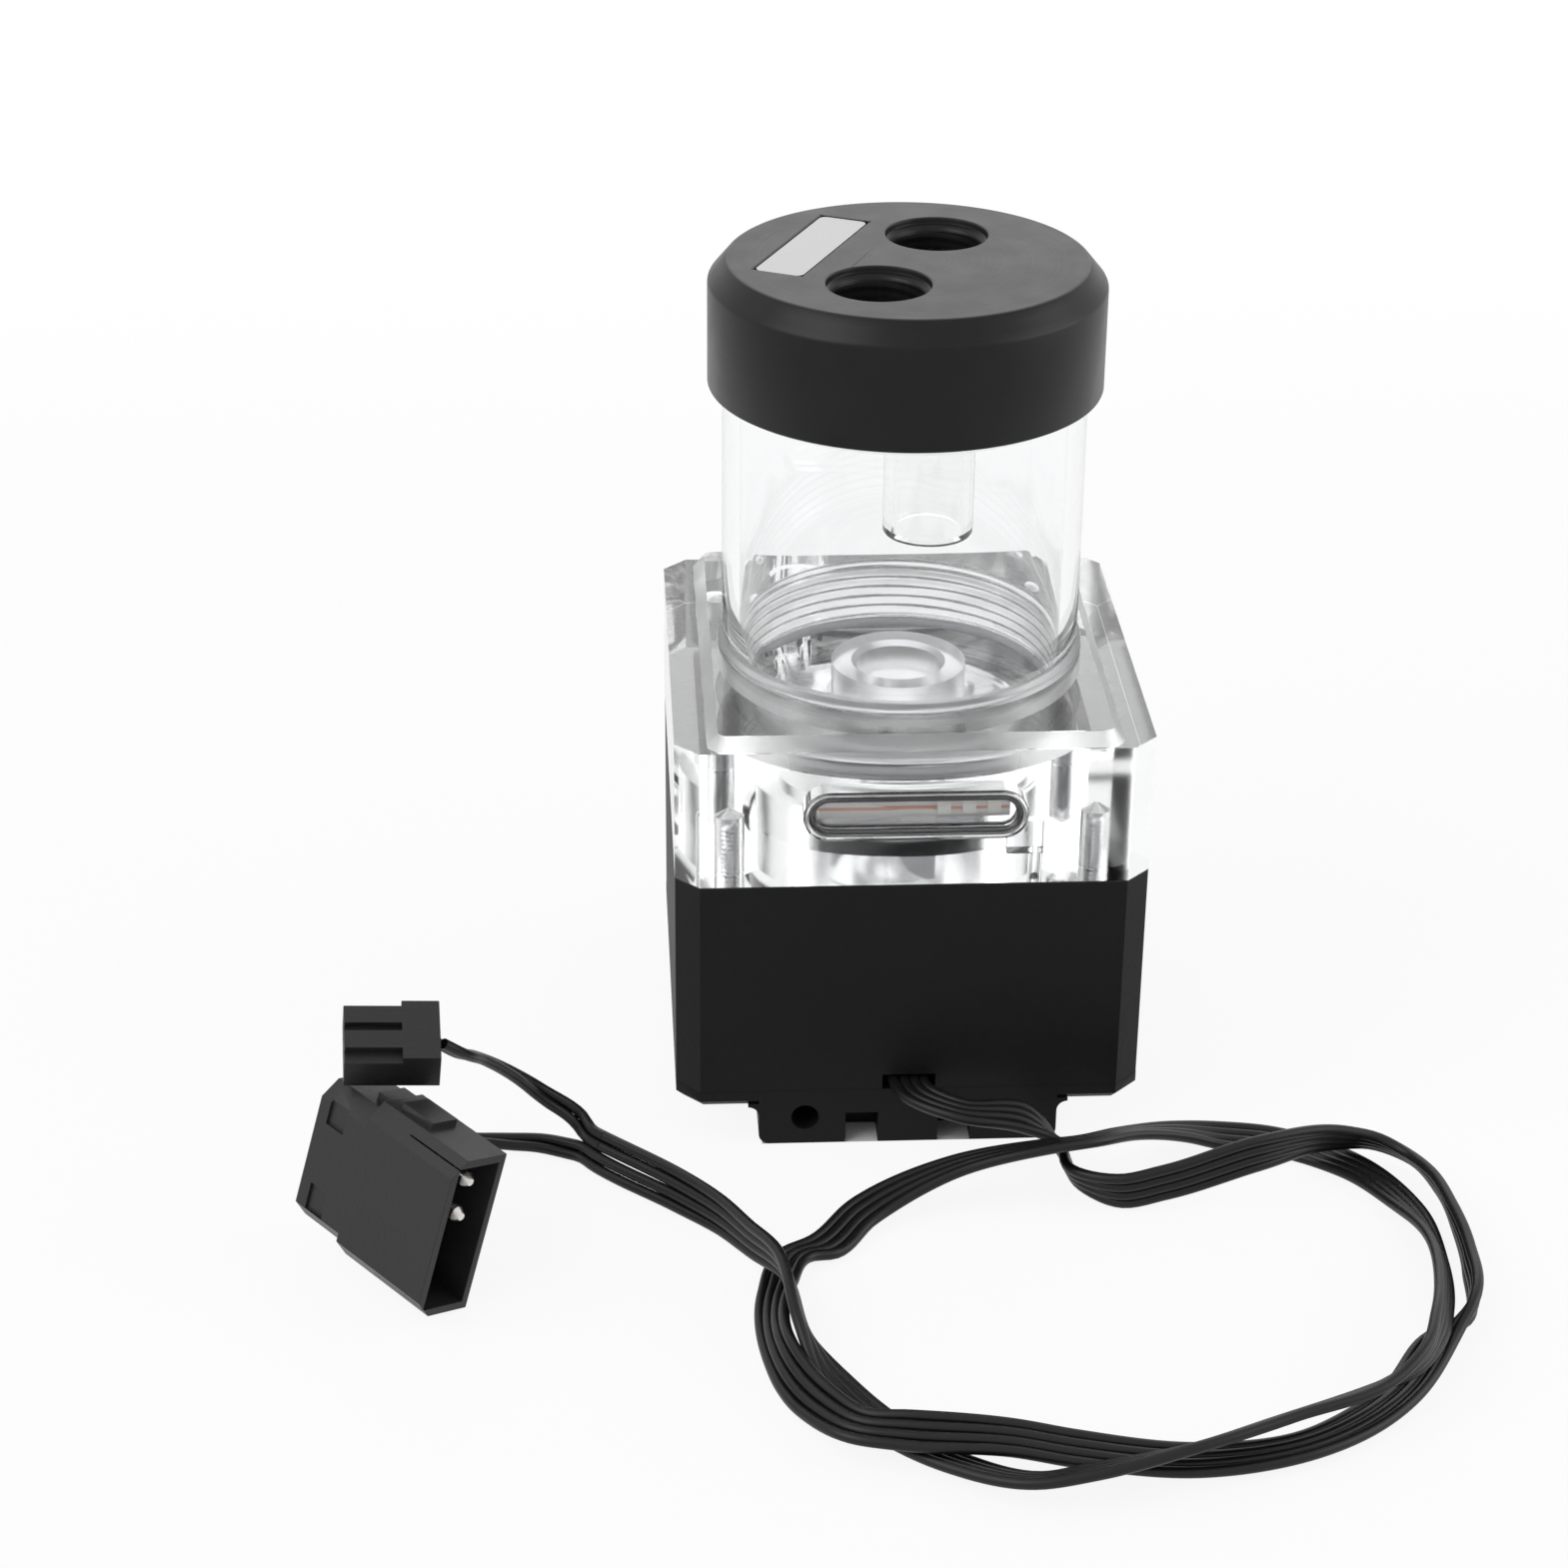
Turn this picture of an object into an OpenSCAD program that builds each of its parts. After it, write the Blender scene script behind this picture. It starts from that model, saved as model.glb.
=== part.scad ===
/* [Base and housing] */
// Width and depth of the pump body, mm
body_w = 65;        // [60:0.5:70]
// Chamfer on the four vertical edges, mm
edge_ch = 3.3;      // [2:0.1:5]
// Width of the mounting foot, mm
foot_w = 42;        // [36:1:48]
// Height of the mounting foot, mm
foot_h = 6;         // [4:0.5:8]
// Thickness of the bottom cover flange, mm
cover_t = 2.6;      // [2:0.1:4]
// Height of the motor housing, mm
house_h = 32.6;     // [28:0.2:40]
// Radius of the motor bore, mm
bore_r = 28.5;      // [27:0.1:29]
// Half spacing of the four corner screws, mm
screw_c = 25;       // [24:0.1:26]

/* [Pump top] */
// Height of the clear block up to its side ledges, mm
top_h = 20.2;       // [18:0.2:24]
// Height of the raised pad, mm
pad_h = 1.9;        // [1:0.1:3]
// Depth of the threaded recess for the tube, mm
recess_d = 8.5;     // [6:0.5:10]
// Radius of the inlet boss, mm
boss_r = 9.5;       // [8.5:0.1:11]
// Height of the inlet boss, mm
boss_h = 5.4;       // [3:0.1:6]
// Minor bore radius of the quarter-inch ports, mm
port_r = 5.95;      // [5.7:0.05:6.1]

/* [Light window] */
// Length of the light window, mm
win_l = 30.6;       // [28:0.1:34]
// Height of the light window, mm
win_h = 7.3;        // [6:0.1:8]

/* [Reservoir] */
// Outer radius of the clear tube, mm
tube_r = 25;        // [25]
// Wall of the clear tube, mm
tube_wall = 2.5;    // [2:0.1:3]
// Height of the cap's lower edge above the table, mm
cap_z = 101.7;      // [90:0.1:150]
// Outer radius of the cap, mm
cap_r = 27;         // [26.5:0.1:30]
// Height of the cap, mm
cap_h = 17.4;       // [14:0.1:20]
// Distance of each cap port from the axis, mm
port_off = 11.2;    // [10:0.1:12]
// Direction of the line through the two cap ports, degrees
port_ang = 65;      // [0:1:180]
// Height of the open lower end of the down tube, mm
drop_z = 75.8;      // [60:0.1:90]

/* [Cable] */
// Width of the four-wire ribbon, mm
rib_w = 6;          // [5.2:0.1:6.6]
// Thickness of the ribbon, mm
rib_t = 1.4;        // [1.1:0.1:1.6]

/* [Hidden] */
$fn = 72;
hw = body_w / 2;
z_cov = foot_h;                    // underside of the cover flange
z_hou = z_cov + cover_t;           // seam between cover and housing
z_top = z_hou + house_h;           // joint face of the clear block
z_led = z_top + top_h;             // side ledges of the block
z_pad = z_led + pad_h;             // top of the raised pad
z_rec = z_pad - recess_d;          // floor of the tube recess
rec_r = tube_r + 0.65;             // thread recess in block and cap
thr_r = tube_r + 0.57;             // thread on the tube's ends
z_tube0 = z_rec + 1.6;             // lower end of the tube
z_tube1 = cap_z + 8.5;             // upper end of the tube
z_ceil = z_tube1 + 1.7;            // ceiling of the socket in the cap
z_cap1 = cap_z + cap_h;            // top of the cap
cup_r = 14;                        // outside of the dry cup
z_cup = z_hou + 8;                 // underside of the dry cup
z_vol = z_top + 7.3;               // ceiling of the impeller chamber
z_win = z_top + 10.5;              // centre line of the light window
plug_w = 22.8;                     // long side of the power plug's hood
px = port_off * cos(port_ang);
py = port_off * sin(port_ang);

// Route of the ribbon's centre line: x, y, z, lean of its width.
trunk = [[0,-25.9,9.7,0],[0,-30,9.7,0],[0.3,-33.8,9.6,-2],[6.6,-39.6,9.3,-6],[15.7,-39.3,7.6,8],[20.5,-40.6,3.6,-58],
 [21.8,-47.3,3.1,-58],[27.6,-51.3,3.2,-78],[33.5,-51,4.2,-84],[47,-47.9,6.6,-86],[59.4,-42.4,5.2,-56],
 [64.9,-41.8,4,-44],[68.4,-43.7,3.2,-46],[71.1,-50,3,-62],[71.9,-59.4,3.1,-76],[71.6,-68.9,3.1,-88],
 [68.6,-81.2,3.1,-108],[66,-83.3,2.4,-138],[56.9,-95.6,1.3,-168],[51.6,-100.5,1.3,-172],[43.8,-105.3,1.4,-170],
 [29.5,-108.2,1.7,-182],[14.3,-106.7,2.8,-189],[7,-105.5,3.7,-190],[-6.3,-104.6,4.6,-197],[-12,-103,4.3,-190],
 [-16.6,-97.1,3.4,-205],[-21,-84.2,2.8,-236],[-20.3,-70.1,1.8,-208],[-17.2,-61.9,1.4,-192],[-13.8,-60.3,1.3,-182],
 [-7.8,-53.4,2.2,-177],[5,-48,5.6,-193],[17.3,-47.9,8.4,-204],[23,-46.6,8.3,-206],[29.8,-41.6,6.2,-202],
 [37.8,-37.1,3.4,-188],[44,-35.6,1.6,-176],[51,-36.2,1,-176],[61.4,-43.3,0.9,-183],[66.4,-54.2,1.7,-200],
 [67.4,-67.5,3.9,-240],[65.4,-81,5.9,-250],[62.7,-89.4,6.9,-258],[59,-95.8,6.7,-285],[54.6,-99,5.9,-312],
 [40.5,-105.2,5.3,-318],[27.8,-110.7,5.3,-319],[15.7,-113.1,4.2,-331],[9.5,-113.1,3.1,-334],[-0.4,-107.4,1.6,-340],
 [-10.4,-96.5,1.3,-348],[-14,-90.6,1.7,-340],[-17.5,-83.6,4.4,-296],[-19.9,-70.7,6.2,-284],[-23.4,-63.2,4.8,-274],
 [-27.6,-55.1,3.7,-262],[-32.6,-48.7,3.1,-246],[-43.4,-38.1,2.9,-240],[-45.5,-35.5,2.85,-240]];
fan_route = [[-44.9,-35,4.1,-240],[-46.2,-33.3,5.2,-236],[-50.9,-33.2,9.2,-222],[-55.1,-37,15.1,-205],
 [-59.3,-43.4,21.7,-188],[-62.1,-49.6,26.6,-175],[-64.15,-50.95,28.8,-162]];
pow_route = [[-46.1,-36,1.6,-240],[-48.1,-35,1.6,-225],[-51.5,-33.8,1.7,-205],[-56,-33.5,1.9,-188],[-61,-33.6,2.4,-168],[-66,-34.4,3.4,-150],
 [-71.5,-37.3,6,-138],[-75.6,-41.6,10.3,-126],[-78.2,-46.4,15,-114],[-77.39,-52,19.26,-106]];

// ---------- helpers ----------
function unit(v) = v / norm(v);
function tang(p, i) = let(n = len(p) - 1, a = p[max(i - 1, 0)], b = p[min(i + 1, n)])
  unit([b[0] - a[0], b[1] - a[1], b[2] - a[2]]);
function wide(t, lean) = let(s = unit([-t[1], t[0], 0]), u = cross(t, s)) s * cos(lean) + u * sin(lean);
// One ring of a flat section: eight points, w wide and h thick.
function ring(p, i, w, h) = let(t = tang(p, i), a = wide(t, p[i][3]), b = cross(t, a), c = [p[i][0], p[i][1], p[i][2]],
  k = w / 2 - h * 0.3, e = w / 2, m = h * 0.22, f = h / 2)
  [for (q = [[e, -m], [e, m], [k, f], [-k, f], [-e, m], [-e, -m], [-k, -f], [k, -f]]) c + a * q[0] + b * q[1]];

module flat_cord(p, w, h) {
  n = len(p);
  pts = [for (i = [0:n - 1], q = ring(p, i, w, h)) q];
  sides = [for (i = [0:n - 2], j = [0:7], h = [0, 1]) let(a = i * 8 + j, b = i * 8 + (j + 1) % 8) h == 0 ? [a, a + 8, b + 8] : [a, b + 8, b]];
  polyhedron(points = pts, faces = concat([[for (j = [0:7]) j]], sides, [[for (j = [7:-1:0]) (n - 1) * 8 + j]]), convexity = 10);
}

module octo(w, c) {
  h = w / 2;
  polygon([[-h + c, -h], [h - c, -h], [h, -h + c], [h, h - c], [h - c, h], [-h + c, h], [-h, h - c], [-h, -h + c]]);
}

module stadium(l, h) {
  union() {
    square([l - h, h], center = true);
    translate([-(l - h) / 2, 0]) circle(d = h);
    translate([(l - h) / 2, 0]) circle(d = h);
  }
}

module corners(c) {
  for (x = [-c, c], y = [-c, c]) translate([x, y, 0]) children();
}

module ring_tube(ro, ri, z0, z1) {
  translate([0, 0, z0]) difference() {
    cylinder(r = ro, h = z1 - z0);
    translate([0, 0, -1]) cylinder(r = ri, h = z1 - z0 + 2);
  }
}

// Wedge that cuts a 45-degree bevel of size c along an edge running on Y.
module bevel_cut(c) {
  rotate([90, 0, 0]) linear_extrude(height = 90, center = true)
    polygon([[-c, -0.01 - 1], [1, -1], [1, c], [0, c], [-c, 0]]);
}

// ---------- base ----------
module foot_profile() {
  difference() {
    union() {
      translate([-foot_w / 2, 1.5]) square([foot_w, foot_h]);
      translate([-foot_w / 2 + 1.5, 0]) square([foot_w - 3, 3]);
      translate([-foot_w / 2 + 1.5, 1.5]) circle(r = 1.5);
      translate([foot_w / 2 - 1.5, 1.5]) circle(r = 1.5);
      translate([-foot_w / 2 - 1.5, foot_h - 1.5]) square([foot_w + 3, 2]);
    }
    translate([-foot_w / 2 - 1.5, foot_h - 1.5]) circle(r = 1.5);
    translate([foot_w / 2 + 1.5, foot_h - 1.5]) circle(r = 1.5);
  }
}

module bottom_cover() {
  color([0.09, 0.09, 0.09]) difference() {
    union() {
      difference() {
        translate([0, 0, z_cov]) linear_extrude(height = cover_t) octo(body_w, edge_ch);
        for (a = [0, 90, 180, 270]) rotate([0, 0, a]) translate([hw, 0, z_cov]) bevel_cut(1.1);
        for (a = [45, 135, 225, 315]) rotate([0, 0, a])
          translate([(body_w - edge_ch) / sqrt(2), 0, z_cov]) bevel_cut(1.1);
      }
      translate([0, hw, 0]) rotate([90, 0, 0]) linear_extrude(height = body_w) foot_profile();
      translate([0, 0, z_hou - 0.6]) cylinder(r = 20, h = 2.6);
      translate([0, 0, z_hou - 0.6]) corners(screw_c) cylinder(r = 4.9, h = 3);
      for (a = [90, 200, 340]) rotate([0, 0, a]) translate([24.2, 0, z_hou - 0.6]) cylinder(r = 2.2, h = 4);
    }
    corners(screw_c) {
      translate([0, 0, z_cov - 1]) cylinder(r = 3.9, h = 4.2);
      translate([0, 0, z_cov - 1]) cylinder(r = 2.2, h = 10);
    }
    for (a = [90, 200, 340]) rotate([0, 0, a]) translate([24.2, 0, z_cov + 1]) cylinder(r = 0.95, h = 10, $fn = 24);
    // side holes for the mounting bracket, both ends of the foot
    for (x = [-14.5, 14.5], s = [-1, 1]) translate([x, s * (hw + 1), 4.2]) rotate([s * 90, 0, 0]) cylinder(r = 1.95, h = 10, $fn = 32);
    // clip notches at both ends of the foot
    for (x = [-6.5, 6.5], s = [-1, 1]) {
      translate([x - 2.3, s > 0 ? hw - 5 : -hw - 1, -1]) cube([4.6, 6, 5.8]);
      translate([x, s * (hw - 5), 3]) cylinder(r = 2.3, h = 1.8);
    }
    // shallow pocket and threaded holes under the foot
    translate([-12, -16, -1]) cube([24, 32, 2.6]);
    for (x = [-16.5, 16.5], y = [-20, 20]) translate([x, y, -1]) cylinder(r = 1.65, h = 8, $fn = 32);
  }
}

module pump_housing() {
  color([0.07, 0.07, 0.07]) difference() {
    translate([0, 0, z_hou]) linear_extrude(height = house_h) octo(body_w, edge_ch);
    translate([0, 0, z_hou - 1]) cylinder(r = bore_r, h = house_h - 4.2);
    translate([0, 0, z_hou + 20]) cylinder(r = cup_r + 0.5, h = 30);
    translate([0, 0, z_top - 1.6]) cylinder(r = 25.9, h = 5);
    translate([0, 0, z_hou - 1]) corners(screw_c) cylinder(r = 2.25, h = 50);
    translate([0, 0, z_hou - 1]) corners(screw_c) cylinder(r = 5.2, h = 3.7);
    translate([-3.7, -hw - 1, z_hou - 1]) cube([7.4, 8, 3.3]);
    // wiring relief behind the cable slot
    translate([-6, -28.9, z_hou - 1]) cube([12, 4, 4]);
  }
}

module thermal_pad() {
  color([0.55, 0.62, 0.66]) translate([0, 0, z_hou + 2]) cylinder(r = 17.5, h = 1.4);
}

module control_board() {
  color([0.05, 0.28, 0.16]) translate([0, 0, z_hou + 3.4]) difference() {
    cylinder(r = 27, h = 1.6);
    for (a = [90, 200, 340]) rotate([0, 0, a]) translate([24.2, 0, -1]) cylinder(r = 1.3, h = 4, $fn = 24);
    translate([-2, 16, -1]) cube([4, 3, 4]);
  }
}

module board_parts() {
  color([0.12, 0.12, 0.13]) translate([0, 0, z_hou + 5]) {
    translate([-4, -4, 0]) cube([8, 8, 1.2]);
    for (a = [20, 80, 140, 260, 320]) rotate([0, 0, a]) translate([12, -2, 0]) cube([4.4, 4, 1.5]);
    for (a = [0, 50, 110, 170, 290]) rotate([0, 0, a]) translate([19.5, -1, 0]) cube([2.4, 1.4, 0.9]);
    translate([-17, -13, 0]) cylinder(r = 3, h = 2.6, $fn = 36);
    translate([15.5, 14.5, 0]) cylinder(r = 3, h = 2.6, $fn = 36);
  }
}

module wire_header() {
  color([0.85, 0.83, 0.78]) difference() {
    translate([-4.8, -25.9, z_hou + 0.2]) cube([9.6, 4.6, 3.2]);
    translate([-4, -24.8, z_hou + 0.8]) cube([8, 2.6, 1.6]);
  }
}

// Split rubber block that grips the ribbon inside the slot.
module cable_clamp() {
  color([0.06, 0.06, 0.06]) difference() {
    translate([-5.6, -28.7, z_hou + 0.05]) cube([11.2, 2.7, 2.8]);
    translate([-3.1, -29.7, 9.7 - 0.75]) cube([6.2, 5, 1.5]);
  }
}

module board_screws() {
  color([0.72, 0.72, 0.74]) for (a = [90, 200, 340]) rotate([0, 0, a]) translate([24.2, 0, 0]) difference() {
    union() {
      translate([0, 0, z_hou - 0.5]) cylinder(r = 0.9, h = 6, $fn = 24);
      translate([0, 0, z_hou + 5]) cylinder(r = 1.9, h = 1.3, $fn = 32);
    }
    translate([0, 0, z_hou + 5.6]) cylinder(r = 0.8, h = 2, $fn = 6);
  }
}

// ---------- motor ----------
module stator_core() {
  color([0.52, 0.53, 0.55]) {
    ring_tube(26, 22.4, z_hou + 11, z_hou + 22);
    intersection() {
      ring_tube(22.6, cup_r + 0.6, z_hou + 11, z_hou + 22);
      union() {
        for (k = [0:5]) rotate([0, 0, k * 60]) translate([10, -2.6, z_hou + 11]) cube([14, 5.2, 11]);
      }
    }
    intersection() {
      ring_tube(cup_r + 2.2, cup_r + 0.6, z_hou + 11, z_hou + 22);
      union() {
        for (k = [0:5]) rotate([0, 0, k * 60]) translate([10, -6.2, z_hou + 11]) cube([14, 12.4, 11]);
      }
    }
  }
}

module stator_coils() {
  color([0.72, 0.38, 0.16]) for (k = [0:5]) rotate([0, 0, k * 60]) difference() {
    translate([17, -4.6, z_hou + 9.4]) cube([4.6, 9.2, 14.2]);
    translate([16, -2.7, z_hou + 10.9]) cube([7, 5.4, 11.2]);
  }
}

module stator_frame() {
  color([0.9, 0.88, 0.82]) {
    ring_tube(bore_r - 0.05, 26.05, z_hou + 8, z_hou + 27);
    for (k = [0:5]) rotate([0, 0, k * 60]) intersection() {
      ring_tube(26.2, 23, z_hou + 24, z_hou + 27);
      translate([20, -4, z_hou + 20]) cube([10, 8, 10]);
    }
  }
}

module dry_cup() {
  color([0.13, 0.13, 0.14]) difference() {
    union() {
      translate([0, 0, z_cup]) cylinder(r = cup_r, h = z_top - z_cup - 0.8);
      translate([0, 0, z_top - 1.6]) cylinder(r = 23.5, h = 1.6);
    }
    translate([0, 0, z_cup + 1.4]) cylinder(r = cup_r - 1, h = 40);
    translate([0, 0, z_top - 0.9]) cylinder(r = 18.5, h = 3);
    translate([0, 0, z_cup - 1]) cylinder(r = 1.5, h = 8, $fn = 36);
  }
  color([0.13, 0.13, 0.14]) ring_tube(3.4, 1.5, z_cup + 1.3, z_cup + 3);
}

module shaft() {
  color([0.92, 0.9, 0.86]) translate([0, 0, z_cup]) cylinder(r = 1.5, h = 28.6, $fn = 36);
}

// Squeezed ring: w wide, h high, rounded sides.
module squeezed_ring(r, w, h, z) {
  translate([0, 0, z]) rotate_extrude() translate([r, h / 2]) union() {
    square([w - h, h], center = true);
    translate([-(w - h) / 2, 0]) circle(d = h, $fn = 24);
    translate([(w - h) / 2, 0]) circle(d = h, $fn = 24);
  }
}

module housing_oring() {
  color([0.05, 0.05, 0.05]) squeezed_ring(24.7, 2.2, 1.56, z_top - 1.58);
}

module rotor_magnet() {
  color([0.25, 0.25, 0.27]) ring_tube(12.4, 8, z_cup + 4, z_cup + 20);
}

module rotor_bushing() {
  color([0.3, 0.3, 0.31]) ring_tube(3.2, 1.56, z_cup + 3.4, z_cup + 27.4);
}

module impeller() {
  color([0.86, 0.86, 0.88]) {
    ring_tube(7.95, 3.2, z_cup + 4, z_cup + 27);
    ring_tube(12.4, 7.9, z_cup + 20.05, z_cup + 22);
    ring_tube(16.5, 3.2, z_top + 0.6, z_top + 1.7);
    ring_tube(12.4, 7.9, z_cup + 21.9, z_top + 0.7);
    intersection() {
      ring_tube(16.5, 7.6, z_top + 1.6, z_top + 5.6);
      union() {
        for (k = [0:5]) rotate([0, 0, k * 60]) translate([3, 11.5, z_top + 1.6]) difference() {
          cylinder(r = 9.6, h = 4);
          translate([0, 0, -1]) cylinder(r = 8.6, h = 6);
          translate([-20, -20, -1]) cube([19, 40, 6]);
        }
      }
    }
  }
}

// ---------- clear block ----------
// Raised pad: bevelled all round with rounded corners, front and back flush.
module pad_solid() {
  b = 1.6; x = 28.2; r = 3;
  for (s = [0, 1]) mirror([s, 0, 0]) {
    translate([0, hw - r, 0]) rotate([90, 0, 0]) linear_extrude(height = body_w - 2 * r)
      polygon([[0, -1], [x, -1], [x, 0], [x - b, pad_h], [0, pad_h]]);
  }
  for (s = [0, 1]) mirror([0, s, 0]) {
    translate([-x + r, 0, 0]) rotate([90, 0, 90]) linear_extrude(height = 2 * x - 2 * r)
      polygon([[0, -1], [hw, -1], [hw, 0], [hw - b, pad_h], [0, pad_h]]);
  }
  for (sx = [-1, 1], sy = [-1, 1]) translate([sx * (x - r), sy * (hw - r), 0]) {
    cylinder(r1 = r, r2 = r - b, h = pad_h, $fn = 48);
    translate([0, 0, -1]) cylinder(r = r, h = 1, $fn = 48);
  }
}

// Spiral chamber: each arc reaches farther out than the one before it, up to the outlet.
module volute_cut() {
  translate([0, 0, z_top - 1]) cylinder(r = 17.6, h = 1 + z_vol - z_top);
  for (k = [0:2]) rotate([0, 0, 20 - k * 88]) translate([0.9 + k * 0.9, 0, z_top - 1])
    cylinder(r = 17.9 + k * 0.2, h = 1 + z_vol - z_top - 0.6 - k * 0.15);
}

module pump_top() {
  color([0.88, 0.93, 0.96, 0.35]) difference() {
    union() {
      translate([0, 0, z_top]) linear_extrude(height = top_h) octo(body_w, edge_ch);
      translate([0, 0, z_led]) pad_solid();
    }
    difference() {
      translate([0, 0, z_rec]) cylinder(r = rec_r, h = 20);
      translate([0, 0, z_rec - 1]) cylinder(r = boss_r, h = boss_h + 1);
    }
    // inlet with its countersink
    translate([0, 0, z_vol - 1]) cylinder(r = port_r, h = 20);
    translate([0, 0, z_rec + boss_h - 0.7]) cylinder(r1 = port_r, r2 = port_r + 0.75, h = 0.75);
    volute_cut();
    // outlet channel and port at the rear
    translate([-14.9, 0, z_top + 3.9]) rotate([-90, 0, 0]) cylinder(r = 3.5, h = 27);
    translate([-14.9, 25.6, z_top + 9.4]) rotate([-90, 0, 0]) cylinder(r = port_r, h = 12);
    translate([-14.9, hw - 0.8, z_top + 9.4]) rotate([-90, 0, 0]) cylinder(r1 = port_r, r2 = port_r + 0.9, h = 0.85);
    // tapped corner holes with drill points
    translate([0, 0, z_top - 1]) corners(screw_c) {
      cylinder(r = 2.05, h = 9.6, $fn = 36);
      translate([0, 0, 9.59]) cylinder(r1 = 2.05, r2 = 0.35, h = 1.1, $fn = 36);
    }
    // pocket for the light window and its wiring slot
    translate([0, -hw + 4.6, z_win]) rotate([90, 0, 0]) linear_extrude(height = 6) stadium(win_l, win_h);
    translate([16.5, -hw + 2.4, z_top - 1]) cylinder(r = 1, h = 8, $fn = 24);
    translate([12.5, -hw + 1.4, z_win - 6.5]) cube([5, 2, 5]);
  }
}

module corner_screws() {
  color([0.1, 0.1, 0.1]) corners(screw_c) difference() {
    union() {
      translate([0, 0, z_cov + 0.5]) cylinder(r = 3.5, h = 2.7, $fn = 48);
      translate([0, 0, z_cov + 3.1]) cylinder(r = 1.98, h = z_top + 7.6 - z_cov - 3.1, $fn = 36);
    }
    translate([0, 0, z_cov]) cylinder(r = 1.6, h = 2.1, $fn = 6);
  }
}

// ---------- light window ----------
module window_rim() {
  color([0.8, 0.82, 0.84, 0.6]) translate([0, -hw + 2.6, z_win]) rotate([90, 0, 0]) difference() {
    linear_extrude(height = 2.5) stadium(win_l - 0.2, win_h - 0.2);
    translate([0, 0, -1]) linear_extrude(height = 5) stadium(win_l - 1.8, win_h - 1.6);
    translate([0, 0, 1.9]) linear_extrude(height = 5) stadium(win_l - 1.1, win_h - 0.9);
  }
}

module window_lens() {
  color([0.85, 0.9, 0.95, 0.4]) translate([0, -hw + 2.6, z_win]) rotate([90, 0, 0])
    linear_extrude(height = 1.7) stadium(win_l - 2, win_h - 1.8);
}

module light_board() {
  color([0.82, 0.6, 0.5]) translate([-13, -hw + 4, z_win - 1.9]) cube([26, 0.6, 3.8]);
}

module light_leds() {
  color([0.97, 0.96, 0.9]) for (x = [4, 7.4, 10.8]) translate([x - 0.9, -hw + 3.2, z_win - 1.1]) cube([1.8, 0.8, 2.2]);
}

// ---------- reservoir ----------
module tube_seal() {
  color([0.8, 0.82, 0.84]) squeezed_ring(23.9, 2.4, 1.58, z_rec + 0.01);
}

module reservoir_tube() {
  color([0.9, 0.94, 0.97, 0.3]) difference() {
    union() {
      translate([0, 0, z_tube0]) cylinder(r = thr_r, h = z_pad + 1.8 - z_tube0);
      translate([0, 0, z_tube0]) cylinder(r = tube_r, h = z_tube1 - z_tube0);
      translate([0, 0, cap_z - 0.8]) cylinder(r = thr_r, h = z_tube1 - cap_z + 0.8);
    }
    translate([0, 0, z_tube0 - 1]) cylinder(r = tube_r - tube_wall, h = 80);
    translate([0, 0, z_tube0 - 0.01]) cylinder(r1 = tube_r - tube_wall + 0.6, r2 = tube_r - tube_wall, h = 0.6);
  }
}

module cap_seal() {
  color([0.06, 0.06, 0.06]) squeezed_ring(23.9, 2.4, 1.66, z_tube1 + 0.02);
}

module cap() {
  color([0.08, 0.08, 0.08]) difference() {
    union() {
      translate([0, 0, cap_z]) cylinder(r = cap_r, h = cap_h - 3, $fn = 144);
      translate([0, 0, z_cap1 - 3]) cylinder(r1 = cap_r, r2 = cap_r - 2.5, h = 3, $fn = 144);
    }
    difference() {
      translate([0, 0, cap_z - 1]) cylinder(r = rec_r, h = z_ceil - cap_z + 1);
      translate([0, 0, cap_z + 4.6]) cylinder(r = 20, h = 20);
    }
    // entry relief at the mouth of the thread
    translate([0, 0, cap_z - 0.01]) cylinder(r1 = rec_r + 0.5, r2 = rec_r, h = 0.5);
    for (s = [-1, 1]) translate([s * px, s * py, 0]) {
      translate([0, 0, cap_z]) cylinder(r = port_r, h = 30);
      translate([0, 0, z_cap1 - 0.9]) cylinder(r = 7, h = 2);
      translate([0, 0, z_cap1 - 1.6]) cylinder(r1 = port_r, r2 = port_r + 0.7, h = 0.71);
    }
    translate([px, py, cap_z]) cylinder(r = 6.6, h = 8.8);
    // recess of the plate
    rotate([0, 0, port_ang]) translate([-12.5, 13.9 - 3.5, z_cap1 - 0.8]) cube([25, 7, 2]);
  }
}

module cap_plate() {
  color([0.78, 0.78, 0.8]) rotate([0, 0, port_ang]) translate([0, 13.9, z_cap1 - 0.8]) linear_extrude(height = 0.7) union() {
    square([22.6, 6.8], center = true);
    square([24.8, 4.6], center = true);
    for (x = [-11.3, 11.3], y = [-2.3, 2.3]) translate([x, y]) circle(r = 1.1, $fn = 32);
  }
}

module down_tube() {
  color([0.9, 0.94, 0.97, 0.35]) translate([px, py, drop_z]) difference() {
    cylinder(r = 6.55, h = cap_z + 8.7 - drop_z);
    translate([0, 0, -1]) cylinder(r = 5, h = 60);
    translate([0, 0, -0.01]) cylinder(r1 = 5.5, r2 = 5, h = 0.5);
  }
}

// ---------- cable and plugs ----------
module cable_trunk() {
  color([0.05, 0.05, 0.05]) flat_cord(trunk, rib_w, rib_t);
}

module fan_branch() {
  color([0.05, 0.05, 0.05]) flat_cord(fan_route, rib_w / 2 - 0.1, rib_t);
}

module power_branch() {
  color([0.05, 0.05, 0.05]) flat_cord(pow_route, rib_w / 2 - 0.1, rib_t);
}

// Frame of the four-way fan plug: X along the wires, Z out of its broad face.
module fan_place() {
  translate([-76.7, -56, 25.6]) rotate([0, 0, 4.3]) rotate([0, 4.1, 0]) rotate([17, 0, 0]) children();
}

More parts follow.
